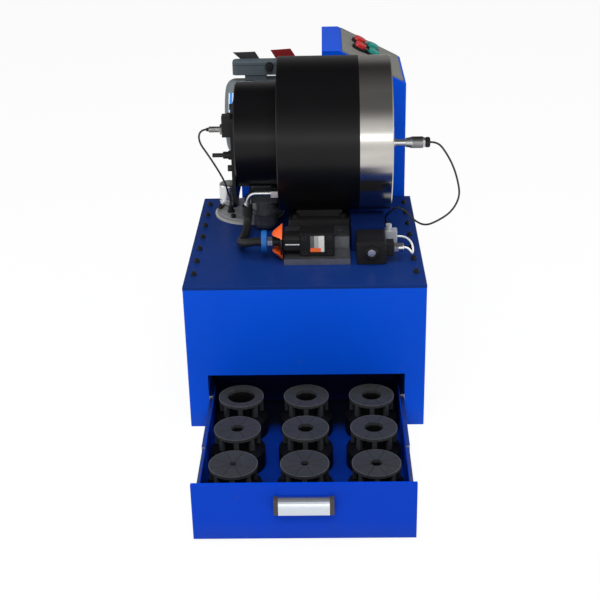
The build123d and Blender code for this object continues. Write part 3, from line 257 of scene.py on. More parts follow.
micrometer_route = [
    (0.2904, -0.0330, 0.6005), (0.3084, -0.0330, 0.6005), (0.3274, -0.0370, 0.5765),
    (0.3444, -0.0420, 0.5455), (0.3564, -0.0460, 0.5085), (0.3614, -0.0510, 0.4735),
    (0.3444, -0.0530, 0.4385), (0.3160, -0.0530, 0.4170), (0.2830, -0.0490, 0.4000),
    (0.2560, -0.0410, 0.4120), (0.2350, -0.0290, 0.4343), (0.2144, -0.0130, 0.4363),
    (0.2004, 0.0070, 0.4140), (0.1954, 0.0330, 0.3985), (0.1954, 0.0600, 0.3840),
    (0.1954, 0.0600, 0.3700),
]
signal_thick = 0.0046
cord = free_cord(
    "micrometer_signal_cord", micrometer_route, signal_thick, cord_black, "root"
)
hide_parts("micrometer_cord")

# Cord of the proximity sensor, from its threaded body over to a gland on the access cover.
# The same black PVC cable as the micrometer's.
sensor_route = [
    (-0.2280, 0.0145, 0.6237), (-0.2360, 0.0145, 0.6237), (-0.2470, 0.0135, 0.6127),
    (-0.2450, 0.0115, 0.5917), (-0.2290, 0.0105, 0.5670), (-0.2140, 0.0095, 0.5420),
    (-0.1995, 0.0105, 0.5150), (-0.1895, 0.0165, 0.4896), (-0.1865, 0.0305, 0.4657),
    (-0.1860, 0.0572, 0.4436), (-0.1870, 0.0897, 0.4316), (-0.1910, 0.1222, 0.4237),
    (-0.1900, 0.1500, 0.4107), (-0.1900, 0.1500, 0.3820),
]
cord = free_cord("sensor_signal_cord", sensor_route, signal_thick, cord_black, "root")
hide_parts("sensor_cord")

# White lead between the unloading coil's plug and the pressure switch.
# White PVC cable in one loose loop over the deck.
cord_white = Finish("cord_white", Base_Color=(0.78, 0.78, 0.76), Roughness=0.4)
fine = cord_white.noise(cord_white.place(), 700.0, 2.0)
cord_white.set(Base_Color=cord_white.mix(fine, (0.84, 0.84, 0.82), (0.62, 0.62, 0.6)))
cord_white.set(Roughness=0.32 + 0.18 * fine)
plug_route = [
    (0.2260, -0.1480, 0.3874), (0.2350, -0.1480, 0.3874), (0.2440, -0.1560, 0.3784),
    (0.2460, -0.1454, 0.3704), (0.2500, -0.1221, 0.3704), (0.2480, -0.0987, 0.3784),
    (0.2400, -0.0753, 0.3802), (0.2287, -0.0615, 0.3802), (0.2157, -0.0615, 0.3802),
]
lead_thick = 0.0050
cord = free_cord("unloading_coil_lead", plug_route, lead_thick, cord_white, "root")
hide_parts("plug_lead")

# Pressure hose from the chamber's elbow to the directional valve.
# Two-wire rubber hose with a smooth wrapped cover, crimped at both ends.
hose_black = Finish("hose_black", Specular_IOR_Level=0.3)
wrap = hose_black.noise(hose_black.place(), 260.0, 4.0)
dust = hose_black.noise(hose_black.place(), 18.0, 3.0)
hose_black.set(Base_Color=hose_black.mix(dust, (0.005, 0.005, 0.0055), (0.016, 0.016, 0.017)))
hose_black.set(Roughness=0.38 + 0.3 * wrap)
hose_black.bump(wrap, 0.25, 0.0006)
hose_route = [
    (-0.1400, 0.0205, 0.4075), (-0.1400, 0.0205, 0.3950), (-0.1422, 0.0003, 0.3760),
    (-0.1488, -0.0341, 0.3694), (-0.1534, -0.0706, 0.3726), (-0.1466, -0.1030, 0.3838),
    (-0.1340, -0.1240, 0.3930), (-0.1178, -0.1260, 0.3970), (-0.1000, -0.1260, 0.3970),
]
hose_thick = 0.020
hose = free_cord(
    "chamber_pressure_hose", hose_route, hose_thick, hose_black, "root"
)
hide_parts("pressure_hose")


# Cabinet, console and pedestal: folded and welded steel sheet, one colour.
# Sprayed gloss blue, with the faint orange peel and flow of a shop spray coat.
def dress(finish, *names):
    for name in names:
        slots = nodes[name].data.materials
        slots.clear()
        slots.append(finish.material)


def dress_part(finish, name, test):
    mesh = nodes[name].data
    mesh.materials.append(finish.material)
    last = len(mesh.materials) - 1
    for face in mesh.polygons:
        if test(face.center):
            face.material_index = last


def spray_coat(name, colour, shade, peel, roughness):
    coat = Finish(name, Specular_IOR_Level=0.05)
    flow = coat.noise(coat.place(), 3.2, 2.0)
    skin = coat.noise(coat.place(), peel, 2.0)
    height = coat.axes(coat.place())[2]
    scuff = coat.noise(coat.place((1, 1, 0.35)), 46.0, 6.0, 0.7)
    foot = coat.add("ShaderNodeMapRange", None, {0: height, 1: 0.0, 2: 0.05, 3: 0.35, 4: 0.0})
    marks = ((scuff > 0.66) * 0.18 + foot * scuff).clamped()
    tone = coat.mix(flow, colour, shade)
    coat.set(Base_Color=coat.mix(marks, tone, (0.05, 0.07, 0.12)))
    coat.set(Roughness=roughness + 0.06 * flow + 0.25 * marks)
    coat.bump(skin, 0.10, 0.0006)
    return coat


cabinet_blue = spray_coat("cabinet_blue", (0.0012, 0.070, 0.60), (0.001, 0.056, 0.50), 420.0, 0.3)
dress(cabinet_blue, "cabinet_shell", "console_cabinet", "motor_pedestal")

# Top plate over the tank, bolted down on its gasket.
# The same blue, much darker, with an uneven film of oil that changes its shine.
deck_blue = spray_coat("deck_blue", (0.004, 0.020, 0.115), (0.006, 0.027, 0.15), 300.0, 0.32)
film = deck_blue.noise(deck_blue.place(), 24.0, 5.0, 0.62)
deck_blue.set(Roughness=0.26 + 0.3 * film)
dress(deck_blue, "top_plate")

# Drawer front, a folded blue sheet, and the tray behind it.
# The tray is sheet steel in the same coat, scraped by the die sets.
# Painted shade darkens its floor, more deeply in oil patches, and darkens it almost wholly towards its
# back.
drawer_blue = spray_coat("drawer_blue", (0.0015, 0.045, 0.47), (0.0012, 0.036, 0.40), 420.0, 0.3)
dress(drawer_blue, "drawer_front")
tray_blue = spray_coat("tray_blue", (0.0015, 0.040, 0.40), (0.001, 0.030, 0.32), 420.0, 0.34)
scrape = tray_blue.noise(tray_blue.place((9.0, 1.0, 1.0)), 30.0, 8.0, 0.7)
where = tray_blue.axes(tray_blue.place())
tray_floor_top = 0.0112
shade_starts = -0.34
shade_full = -0.25
tray_low = where[2] < tray_floor_top
painted_back_shade = tray_blue.ease(where[1], shade_starts, shade_full)
oil = tray_blue.noise(tray_blue.place(), 16.0, 5.0, 0.65)
worn = tray_blue.mix(scrape, (0.0012, 0.036, 0.36), (0.001, 0.026, 0.27))
# Painted shade: the tray's floor, deeper in oil patches, and its back are mixed towards near-black.
darkening = (tray_low * (0.30 + 0.35 * oil) + 0.9 * painted_back_shade).clamped()
tray_blue.set(Base_Color=tray_blue.mix(darkening, worn, (0.003, 0.004, 0.010)))
tray_blue.set(Roughness=0.3 + 0.35 * scrape)
dress(tray_blue, "drawer_tray")

# Telescopic slides at the drawer's sides, rolled from zinc plated strip.
# The plating shows faint spangle and rolling lines along their length.
zinc = Finish("zinc_plate", Metallic=1.0)
spangle = zinc.add("ShaderNodeTexVoronoi", None, {"Vector": zinc.place(), "Scale": 160.0}, out=1)
rolling = zinc.noise(zinc.place((1.0, 0.02, 1.0)), 900.0, 2.0)
zinc.set(Base_Color=zinc.mix(spangle, (0.46, 0.48, 0.50), (0.58, 0.60, 0.61)))
zinc.set(Roughness=0.3 + 0.18 * rolling)
zinc.bump(rolling, 0.15, 0.0002)
dress(zinc, "slide_outer", "slide_middle", "slide_inner")

# Die sets standing in the drawer: eight hardened segments to a set, nine sets.
# Phosphated steel, dark and slightly blue, dull on the ribs and rubbed on the discs. Each disc's rim
# carries a painted highlight, and painted shade makes the waists and bases under the discs near black.
phosphate = Finish("die_phosphate", Metallic=0.25, Specular_IOR_Level=0.3)
die_pitch_across = 0.147
die_pitch_along = 0.141
die_shift = (0.5, 0.7766, 0.0)
rib_foot = 0.0642
disc_foot = 0.0925
rim_foot = 0.0988
rib_reach = 0.0415
rim_reach = 0.0494
where = phosphate.axes(phosphate.place((1 / die_pitch_across, 1 / die_pitch_along, 1.0), die_shift))
across = (where[0].wrap(1.0) - 0.5) * die_pitch_across
along = (where[1].wrap(1.0) - 0.5) * die_pitch_along
reach = (across * across + along * along) ** 0.5
height = where[2]
rub = phosphate.noise(phosphate.place(), 85.0, 6.0, 0.68)
cloud = phosphate.noise(phosphate.place(), 22.0, 4.0)
disc = height > disc_foot
rib = (height > rib_foot) * (height < disc_foot) * (reach > rib_reach)
painted_rim_highlight = (height > rim_foot) * (reach > rim_reach)
# Painted shade: the waists between the ribs and the bases below them take a near-black tone.
painted_shade_tone = phosphate.mix(cloud, (0.0028, 0.0028, 0.0034), (0.0065, 0.0065, 0.0075))
face = phosphate.mix(cloud, (0.030, 0.032, 0.034), (0.044, 0.046, 0.049))
tone = phosphate.mix((disc + rib).clamped(), painted_shade_tone, face)
# Painted highlight on each disc's rim, added to the real rubbed patches on the discs.
rub_and_painted_highlight = (((rub - 0.58) * 4.0).clamped() * 0.3 * disc + painted_rim_highlight * 0.5).clamped()
phosphate.set(Base_Color=phosphate.mix(rub_and_painted_highlight, tone, (0.15, 0.155, 0.16)))
phosphate.set(Roughness=0.48 + 0.25 * rub)
phosphate.bump(rub, 0.10, 0.0003)
dress(phosphate, "die_row_front", "die_row_middle", "die_row_back")

# Chamber and rear cylinder, thick turned tubes, and the bracket plate behind them.
# All are sprayed satin black, and a fine turned grain runs round the tubes under the paint.
head_black = Finish("head_black", Specular_IOR_Level=0.22)
haze = head_black.noise(head_black.place(), 7.0, 4.0, 0.6)
turned = head_black.noise(head_black.place((1.0, 0.02, 0.02)), 1400.0, 2.0)
skin = head_black.noise(head_black.place(), 380.0, 2.0)
wipe = head_black.noise(head_black.place((0.4, 1.0, 1.0)), 30.0, 6.0, 0.7)
head_black.set(Base_Color=head_black.mix(haze, (0.0016, 0.0016, 0.002), (0.003, 0.003, 0.0036)))
head_black.set(Roughness=0.27 + 0.06 * haze + 0.05 * wipe)
head_black.bump(turned * 0.4 + skin * 0.6, 0.12, 0.0005)
dress(head_black, "main_cylinder", "rear_cylinder", "rear_bracket")

# Front ring with the crimping mouth, turned and hard chromed.
# Turning lines run round it, and thin stains lie along it from handling.
ring_chrome = Finish("ring_chrome", Metallic=1.0)
lines = ring_chrome.noise(ring_chrome.place((1.0, 0.012, 0.012)), 2600.0, 3.0)
stain = ring_chrome.noise(ring_chrome.place((0.18, 1.0, 1.0)), 34.0, 5.0, 0.62)
ring_chrome.set(Base_Color=ring_chrome.mix(stain, (0.64, 0.62, 0.585), (0.45, 0.43, 0.40)))
ring_chrome.set(Roughness=0.10 + 0.10 * stain + 0.06 * lines)
ring_chrome.bump(lines, 0.08, 0.0003)
dress(ring_chrome, "front_ring")

# Ram and master dies inside the head, ground steel that runs in grease.
# Fine grinding marks cover them, and a film of oil darkens them in patches.
ground_steel = Finish("ground_steel", Metallic=1.0)
grind = ground_steel.noise(ground_steel.place((0.05, 1.0, 1.0)), 1500.0, 3.0)
film = ground_steel.noise(ground_steel.place(), 26.0, 4.0)
ground_steel.set(Base_Color=ground_steel.mix(film, (0.50, 0.50, 0.49), (0.30, 0.30, 0.29)))
ground_steel.set(Roughness=0.2 + 0.16 * grind + 0.12 * film)
ground_steel.bump(grind, 0.1, 0.0002)
dress(ground_steel, "ram")
master_steel = Finish("master_steel", Metallic=1.0)
grind = master_steel.noise(master_steel.place((1.0, 0.05, 0.05)), 1200.0, 3.0)
film = master_steel.noise(master_steel.place(), 30.0, 4.0)
master_steel.set(Base_Color=master_steel.mix(film, (0.34, 0.34, 0.34), (0.16, 0.16, 0.165)))
master_steel.set(Roughness=0.28 + 0.2 * grind)
master_steel.bump(grind, 0.12, 0.0002)
dress(master_steel, *["master_die_" + str(number) for number in range(1, 9)])

# Socket screws round the top plate and on the foot and bracket.
# Black oxide steel, dry and slightly mottled, as is the ram's limit rod where it shows.
black_oxide = Finish("black_oxide", Metallic=0.7)
mottle = black_oxide.noise(black_oxide.place(), 420.0, 4.0)
black_oxide.set(Base_Color=black_oxide.mix(mottle, (0.012, 0.012, 0.013), (0.05, 0.05, 0.052)))
black_oxide.set(Roughness=0.34 + 0.3 * mottle)
black_oxide.bump(mottle, 0.15, 0.0002)
dress(black_oxide, "cap_screws")
rod_tip_starts = -0.168
dress_part(black_oxide, "ram", lambda place: place.x < rod_tip_starts)

# Pressure line's elbow and nuts, satin chromed steel with a fine brushed grain.
# The end below the elbow is black like the hose that it carries.
satin_chrome = Finish("satin_chrome", Metallic=1.0)
brushed = satin_chrome.noise(satin_chrome.place((1.0, 0.05, 0.05)), 3000.0, 2.0)
satin_chrome.set(Base_Color=satin_chrome.mix(brushed, (0.72, 0.72, 0.73), (0.55, 0.56, 0.57)))
satin_chrome.set(Roughness=0.2 + 0.14 * brushed)
dress(satin_chrome, "line_fittings")
hose_end_top = 0.4325
hose_end_side = -0.120
dress_part(hose_black, "line_fittings", lambda place: place.z < hose_end_top and place.x < hose_end_side)

# Micrometer cap, both coils, the cable plug and the cord glands.
# Moulded black plastic with a fine grain and a little uneven wear.
moulded_black = Finish("moulded_black", Specular_IOR_Level=0.2)
grain = moulded_black.noise(moulded_black.place(), 620.0, 3.0)
worn = moulded_black.noise(moulded_black.place(), 40.0, 4.0)
moulded_black.set(Base_Color=moulded_black.mix(worn, (0.005, 0.005, 0.0055), (0.013, 0.013, 0.014)))
moulded_black.set(Roughness=0.34 + 0.2 * grain)
moulded_black.bump(grain, 0.3, 0.0004)
dress(moulded_black, "micrometer_cap", "valve_coil", "relief_coil", "cable_plug", "cord_glands")

# Foot and saddle that carry the chamber on the deck.
# Thick flame cut plate with a rough skin, painted thin black.
foot_black = Finish("foot_black", Metallic=0.25)
cast = foot_black.noise(foot_black.place(), 140.0, 6.0, 0.65)
foot_black.set(Base_Color=foot_black.mix(cast, (0.010, 0.010, 0.011), (0.040, 0.040, 0.042)))
foot_black.set(Roughness=0.38 + 0.25 * cast)
foot_black.bump(cast, 0.35, 0.0008)
dress(foot_black, "head_foot")

# Body of the directional valve, cast iron painted black.
# Four socket screws hold it down in counterbored wells in its face.
valve_black = Finish("valve_black", Specular_IOR_Level=0.18)
cast = valve_black.noise(valve_black.place(), 260.0, 5.0, 0.6)
valve_black.set(Base_Color=valve_black.mix(cast, (0.004, 0.004, 0.0045), (0.011, 0.011, 0.012)))
valve_black.set(Roughness=0.42 + 0.2 * cast)
valve_black.bump(cast, 0.3, 0.0006)
dress(valve_black, "valve_body")
valve_middle = 0.028
valve_axis = 0.397
well_across = 0.029
well_up = 0.0175
well_radius = 0.0064
well_floor = -0.140


def in_valve_well(place):
    offset = math.hypot(abs(place.x - valve_middle) - well_across, abs(place.z - valve_axis) - well_up)
    return offset < well_radius and place.y < well_floor


dress_part(black_oxide, "valve_body", in_valve_well)

# Bright metal on the moulded parts: the pin in the coil's face, the relief coil's stud
# and the cable plug's gland.
# All are satin chromed and belong to the same CAD nodes as the mouldings.
pin_front = -0.1481
pin_starts = -0.048
relief_axis = (0.152, 0.386)
relief_stud_radius = 0.0086
relief_stud_front = -0.174
plug_gland_starts = 0.2042


def on_relief_stud(place):
    offset = math.hypot(place.x - relief_axis[0], place.z - relief_axis[1])
    return offset < relief_stud_radius and place.y < relief_stud_front


dress_part(satin_chrome, "valve_coil", lambda place: place.y < pin_front and place.x > pin_starts)
dress_part(satin_chrome, "relief_coil", on_relief_stud)
dress_part(satin_chrome, "cable_plug", lambda place: place.x > plug_gland_starts)

# Steel manifold under the valve and the relief block beside it.
# Sawn and milled steel, unpainted on the manifold and painted blue on the block. The block's blue is
# darkened to navy as painted shade.
manifold_steel = Finish("manifold_steel", Metallic=0.9)
mill = manifold_steel.noise(manifold_steel.place((0.06, 1.0, 1.0)), 700.0, 4.0)
patch = manifold_steel.noise(manifold_steel.place(), 32.0, 5.0, 0.65)
manifold_steel.set(Base_Color=manifold_steel.mix(patch, (0.13, 0.135, 0.15), (0.30, 0.31, 0.33)))
manifold_steel.set(Roughness=0.34 + 0.2 * mill)
manifold_steel.bump(mill, 0.2, 0.0003)
dress(manifold_steel, "valve_manifold")
# Painted shade: the relief block's blue is given as a dark navy tone.
block_blue_painted_shade = spray_coat("block_blue_painted_shade", (0.003, 0.010, 0.060), (0.004, 0.014, 0.085), 300.0, 0.36)
dress(block_blue_painted_shade, "relief_block")

# Orange locking collar round the coil's stem, and the hose's blue collar.
# Both are moulded nylon with a soft gloss, and the stem inside the orange one is black.
collar_orange = Finish("collar_orange", Subsurface_Weight=0.05)
flow = collar_orange.noise(collar_orange.place(), 60.0, 3.0)
collar_orange.set(Base_Color=collar_orange.mix(flow, (0.86, 0.12, 0.014), (0.70, 0.085, 0.010)))
collar_orange.set(Roughness=0.3 + 0.2 * flow)
dress(collar_orange, "coil_collar")
stem_half = 0.019
dress_part(moulded_black, "coil_collar", lambda place: abs(place.z - valve_axis) < stem_half)
collar_blue = Finish("collar_blue")
flow = collar_blue.noise(collar_blue.place(), 70.0, 3.0)
collar_blue.set(Base_Color=collar_blue.mix(flow, (0.004, 0.105, 0.37), (0.004, 0.075, 0.29)))
collar_blue.set(Roughness=0.32 + 0.2 * flow)
dress(collar_blue, "line_collar")

# Return filter hanging from the rear cylinder.
# Its bowl is smoked polyamide with a soft clear gloss.
filter_bowl = Finish("filter_bowl", Coat_Weight=0.4, Coat_Roughness=0.1)
cloud = filter_bowl.noise(filter_bowl.place(), 40.0, 3.0)
filter_bowl.set(Base_Color=filter_bowl.mix(cloud, (0.016, 0.017, 0.019), (0.05, 0.053, 0.058)))
filter_bowl.set(Roughness=0.2 + 0.2 * cloud)
dress(filter_bowl, "return_filter")

# Access cover over the tank's hatch, grey metal on a pale fibre gasket.
# Black socket screws stand in its rim, and a chromed breather cap closes the filler.
cover_grey = Finish("cover_grey", Metallic=0.5)
cloud = cover_grey.noise(cover_grey.place(), 60.0, 5.0)
cover_grey.set(Base_Color=cover_grey.mix(cloud, (0.22, 0.225, 0.23), (0.36, 0.365, 0.37)))
cover_grey.set(Roughness=0.38 + 0.2 * cloud)
cover_grey.bump(cloud, 0.2, 0.0005)
dress(cover_grey, "access_cover")
gasket_pale = Finish("gasket_pale")
fibre = gasket_pale.noise(gasket_pale.place(), 300.0, 5.0, 0.7)
gasket_pale.set(Base_Color=gasket_pale.mix(fibre, (0.30, 0.30, 0.29), (0.46, 0.46, 0.44)))
gasket_pale.set(Roughness=0.6 + 0.2 * fibre)
gasket_top = 0.3591
cover_top = 0.3672
cover_middle = (-0.144, 0.176)
cover_screw_reach = 0.066


def on_cover_screw(place):
    offset = math.hypot(place.x - cover_middle[0], place.y - cover_middle[1])
    return place.z > cover_top and offset > cover_screw_reach


dress_part(gasket_pale, "access_cover", lambda place: place.z < gasket_top)
dress_part(black_oxide, "access_cover", on_cover_screw)
dress(satin_chrome, "breather_cap")

# Motor, pump and terminal box behind the rear cylinder.
# Ribbed aluminium frame and pressed cowl in machine grey enamel.
# The terminal box's cable gland is black plastic, and the pump's castings are bare.
motor_grey = spray_coat("motor_grey", (0.075, 0.092, 0.105), (0.055, 0.07, 0.08), 260.0, 0.36)
dress(motor_grey, "motor_body", "terminal_box", "motor_rotor")
cowl_grey = spray_coat("cowl_grey", (0.16, 0.18, 0.19), (0.12, 0.14, 0.15), 260.0, 0.34)
dress(cowl_grey, "fan_cowl")
terminal_gland_ends = 0.3558
dress_part(moulded_black, "terminal_box", lambda place: place.y < terminal_gland_ends)
pump_cast = Finish("pump_cast", Metallic=0.8)
cast = pump_cast.noise(pump_cast.place(), 180.0, 6.0, 0.65)
pump_cast.set(Base_Color=pump_cast.mix(cast, (0.30, 0.31, 0.31), (0.45, 0.45, 0.45)))
pump_cast.set(Roughness=0.4 + 0.2 * cast)
pump_cast.bump(cast, 0.4, 0.0008)
dress(pump_cast, "gear_pump")

# Pressure switch, a moulded grey body screwed into the relief block.
# It is pale grey with a low shine and faint clouding.
switch_grey = Finish("switch_grey", Metallic=0.3)
cloud = switch_grey.noise(switch_grey.place(), 120.0, 3.0)
switch_grey.set(Base_Color=switch_grey.mix(cloud, (0.48, 0.50, 0.52), (0.34, 0.36, 0.38)))
switch_grey.set(Roughness=0.25 + 0.2 * cloud)
dress(switch_grey, "pressure_switch")

# Control panel on the console's slope: a grey sheet with black bezels.
# Two red and two green buttons stand in it, moulded and slightly domed.
panel_grey = spray_coat("panel_grey", (0.19, 0.19, 0.175), (0.15, 0.15, 0.14), 520.0, 0.4)
dress(panel_grey, "console_panel")
panel_edge = (0.086, 0.740)
panel_normal = (0.4535, 0.8912)
sheet_top = 0.0034
sheet_back = -0.0004


def off_the_sheet(place):
    height = (place.x - panel_edge[0]) * panel_normal[0] + (place.z - panel_edge[1]) * panel_normal[1]
    return height > sheet_top or height < sheet_back


dress_part(moulded_black, "console_panel", off_the_sheet)
for tint, colour, deep in (
    ("red", (0.52, 0.010, 0.012), (0.36, 0.006, 0.008)),
    ("green", (0.005, 0.26, 0.22), (0.004, 0.18, 0.15)),
):
    button = Finish("button_" + tint, Coat_Weight=0.3, Coat_Roughness=0.1)
    flow = button.noise(button.place(), 140.0, 2.0)
    button.set(Base_Color=button.mix(flow, colour, deep), Roughness=0.28 + 0.12 * flow)
    dress(button, "button_start_" + tint, "button_stop_" + tint)

# Drawer pull, an extruded aluminium grip with end caps.
# Brushed along its length between shallow ribs.
aluminium = Finish("brushed_aluminium", Metallic=1.0)
brush = aluminium.noise(aluminium.place((0.03, 1.0, 1.0)), 2400.0, 3.0)
aluminium.set(Base_Color=aluminium.mix(brush, (0.72, 0.76, 0.82), (0.60, 0.64, 0.70)))
aluminium.set(Roughness=0.26 + 0.2 * brush)
groove_rate = 1795.0
groove = (aluminium.axes(aluminium.place())[2] * groove_rate).sine() * 0.5 + 0.5
aluminium.bump(groove + 0.15 * brush, 0.16, 0.0004)
dress(aluminium, "drawer_handle")
cap_brown = Finish("handle_cap", Specular_IOR_Level=0.3)
grain = cap_brown.noise(cap_brown.place(), 500.0, 3.0)
cap_brown.set(Base_Color=cap_brown.mix(grain, (0.035, 0.032, 0.030), (0.06, 0.055, 0.05)))
cap_brown.set(Roughness=0.42 + 0.2 * grain)
grip_half = 0.0507
dress_part(cap_brown, "drawer_handle", lambda place: abs(place.x) > grip_half)

# Micrometer thimble, turned and cross knurled along its grip.
# Satin chromed steel that turns on the barrel and carries the black cap.
def piece_from(name, mesh, finish):
    bmesh.ops.recalc_face_normals(mesh, faces=mesh.faces)
    data = bpy.data.meshes.new(name)
    mesh.to_mesh(data)
    mesh.free()
    data.materials.append(finish.material)
    piece = bpy.data.objects.new(name, data)
    bpy.context.scene.collection.objects.link(piece)
    return piece


def pick(piece):
    bpy.ops.object.select_all(action="DESELECT")
    bpy.context.view_layer.objects.active = piece
    piece.select_set(True)


def turned_piece(name, outline, centre, rounds, finish, cut):
    mesh = bmesh.new()
    rings = []
    for along, reach in outline:
        ring = []
        for step in range(rounds):
            angle = 2 * math.pi * step / rounds
            depth = cut(along, step)
            side = (reach - depth) * math.cos(angle)
            rise = (reach - depth) * math.sin(angle)
            ring.append(mesh.verts.new((centre[0] + along, centre[1] + side, centre[2] + rise)))
        rings.append(ring)
    for near, far in zip(rings, rings[1:] + rings[:1]):
        for step in range(rounds):
            after = (step + 1) % rounds
            mesh.faces.new((near[step], near[after], far[after], far[step]))
    piece = piece_from(name, mesh, finish)
    pick(piece)
    bpy.ops.object.shade_smooth_by_angle(angle=math.radians(28))
    piece.select_set(False)
    return piece


knurl_starts = 0.0150
knurl_pitch = 0.0008
knurl_rows = 31
knurl_radius = 0.0135
first_cut = 0.0152
last_cut = 0.0388
knurl_depth = 0.00045
thimble_outline = [(0.0, 0.0078), (0.0, 0.0102), (0.0004, 0.0105), (0.0100, 0.0119), (0.0138, 0.0134)]
thimble_outline += [(knurl_starts + knurl_pitch * step, knurl_radius) for step in range(knurl_rows)]
thimble_outline += [(0.0396, 0.0132), (0.0400, 0.0126), (0.0458, 0.0105)]
thimble_outline += [(0.0460, 0.0103), (0.0460, 0.0034)]
thimble_outline += [(0.0126, 0.0034), (0.0125, 0.0078)]


def diamond(along, step):
    inside = first_cut < along < last_cut
    return knurl_depth if inside and (round(along / knurl_pitch) + step) % 2 else 0.0


thimble_steel = Finish("knurled_steel", Metallic=1.0)
where = thimble_steel.axes(thimble_steel.place())
grip_starts = 0.2488
grip_ends = 0.2728
weave_pitch = 0.0018
weave_line = 0.0006
grip = (where[0] > grip_starts) * (where[0] < grip_ends)
rising = (where[0] + where[2]).wrap(weave_pitch) < weave_line
falling = (where[0] - where[2]).wrap(weave_pitch) < weave_line
weave = rising + falling
darkening = thimble_steel.noise(thimble_steel.place(), 420.0, 4.0)
steel = thimble_steel.mix(darkening, (0.60, 0.60, 0.61), (0.42, 0.43, 0.44))
soil = grip * (0.25 + 0.5 * weave.clamped())
thimble_steel.set(Base_Color=thimble_steel.mix(soil, steel, (0.06, 0.06, 0.065)))
thimble_steel.set(Roughness=0.24 + 0.16 * darkening + 0.1 * grip)
thimble_start = (0.2340, -0.0330, 0.6005)
thimble_rounds = 84
thimble = turned_piece(
    "knurled_thimble", thimble_outline, thimble_start, thimble_rounds, thimble_steel, diamond
)
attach(thimble, "thimble")
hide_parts("micrometer_thimble")

# Scale on the barrel: short black graduations along a datum line.
# Engraved and filled, with a longer stroke at every fifth.
barrel = Finish("graduated_barrel", Metallic=1.0)
where = barrel.axes(barrel.place())
fine_pitch = 0.0005
fifth_pitch = 0.0025
stroke_width = 0.00014
short_stroke = 0.0026
long_stroke = 0.0045
datum_above = 0.0001
datum_below = 0.00012
scale_side = -0.0345
low = thimble_start[2] - where[2]
fifth = (where[0].wrap(fifth_pitch) < fine_pitch) * (low < long_stroke)
line = where[0].wrap(fine_pitch) < stroke_width
stroke = line * ((low < short_stroke) + fifth).clamped() * (low > 0.0)
datum = (low > -datum_above) * (low < datum_below)
grain = barrel.noise(barrel.place((1.0, 0.05, 0.05)), 3000.0, 2.0)
scale_ink = (stroke + datum).clamped() * (where[1] < scale_side)
plating = barrel.mix(grain, (0.72, 0.72, 0.73), (0.56, 0.57, 0.58))
barrel.set(Base_Color=barrel.mix(scale_ink, plating, (0.02, 0.02, 0.02)))
barrel.set(Roughness=0.22 + 0.14 * grain + 0.4 * scale_ink, Metallic=1.0 - scale_ink)
dress(barrel, "micrometer_sleeve")

# Proximity sensor: a chromed barrel threaded over its whole length.
# The thread is a fine pitch and dark with grease in its roots.
# Its tail is black plastic, and so are the sensor block and the rod's gland on the bracket.
sensor_thread = Finish("sensor_thread", Metallic=1.0)
thread_rate = 6283.2
turn = (sensor_thread.axes(sensor_thread.place())[0] * thread_rate).sine() * 0.5 + 0.5
sensor_thread.set(Base_Color=sensor_thread.mix(turn, (0.16, 0.16, 0.15), (0.70, 0.70, 0.68)))
sensor_thread.set(Roughness=0.42 - 0.14 * turn)
sensor_thread.bump(turn, 0.8, 0.0004)
dress(sensor_thread, "proximity_sensor")
sensor_tail_ends = -0.2215
bracket_face = -0.1712
dress_part(moulded_black, "proximity_sensor", lambda place: place.x < sensor_tail_ends)
dress_part(moulded_black, "rear_bracket", lambda place: place.x < bracket_face)

# Blank label on the valve's face: paper columns over an orange foot, with no words.
# A varnished sticker, greyed in patches with oil.
label_paper = Finish("valve_label", Coat_Weight=0.3, Coat_Roughness=0.2)
where = label_paper.axes(label_paper.place())
grey_column = 0.0215
pale_column = 0.0315
foot_top = 0.3895
foot_ends = 0.0365
column = ((where[0] > grey_column) * 0.5 + (where[0] > pale_column) * 0.5).clamped()
oil = label_paper.noise(label_paper.place(), 260.0, 5.0, 0.7)
paper = label_paper.mix(column, (0.07, 0.07, 0.072), (0.62, 0.61, 0.57))
paper = label_paper.mix(((oil - 0.5) * 4.0).clamped() * 0.45, paper, (0.18, 0.18, 0.19))
foot_strip = (where[2] < foot_top) * (where[0] < foot_ends)
label_paper.set(Base_Color=label_paper.mix(foot_strip, paper, (0.80, 0.13, 0.02)))
label_paper.set(Roughness=0.3 + 0.25 * oil)


def thin_plate(name, corners, lift, finish, bow=0.0, cuts=10, edge_share=0.4):
    mesh = bmesh.new()
    first, second, third, fourth = (Vector(corner) for corner in corners)
    out = (second - first).cross(fourth - first).normalized()
    sheets = []
    for height in (0.0, lift):
        rows = []
        for across in range(cuts + 1):
            share = across / cuts
            row = []
            for up in range(3):
                rise = up / 2
                spot = first.lerp(second, share).lerp(fourth.lerp(third, share), rise)
                swell = bow * (1.0 - (2 * share - 1.0) ** 2)
                row.append(mesh.verts.new(spot + out * (height + swell)))
            rows.append(row)
        sheets.append(rows)
    back, front = sheets
    for across in range(cuts):
        for up in range(2):
            for rows, turned in ((front, False), (back, True)):
                near = rows[across]
                far = rows[across + 1]
                loop = [near[up], far[up], far[up + 1], near[up + 1]]
                mesh.faces.new(reversed(loop) if turned else loop)
    edge = [(step, 0) for step in range(cuts)] + [(cuts, 0), (cuts, 1)]
    edge += [(step, 2) for step in range(cuts, 0, -1)] + [(0, 2), (0, 1)]
    for (i, j), (k, m) in zip(edge, edge[1:] + edge[:1]):
        mesh.faces.new((back[i][j], back[k][m], front[k][m], front[i][j]))
    piece = piece_from(name, mesh, finish)
    pick(piece)
    bevel = piece.modifiers.new("edge", "BEVEL")
    bevel.width = lift * edge_share
    bevel.segments = 2
    bevel.limit_method = "ANGLE"
    bpy.ops.object.modifier_apply(modifier="edge")
    piece.select_set(False)
    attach(piece, "root")
    return piece


label_left = 0.0125
label_right = 0.0445
label_low = 0.3800
label_high = 0.4190
label_face = -0.1511
label_thick = 0.0003
corners = (
    (label_left, label_face, label_low),
    (label_right, label_face, label_low),
    (label_right, label_face, label_high),
    (label_left, label_face, label_high),
)
label = thin_plate("valve_label", corners, label_thick, label_paper)

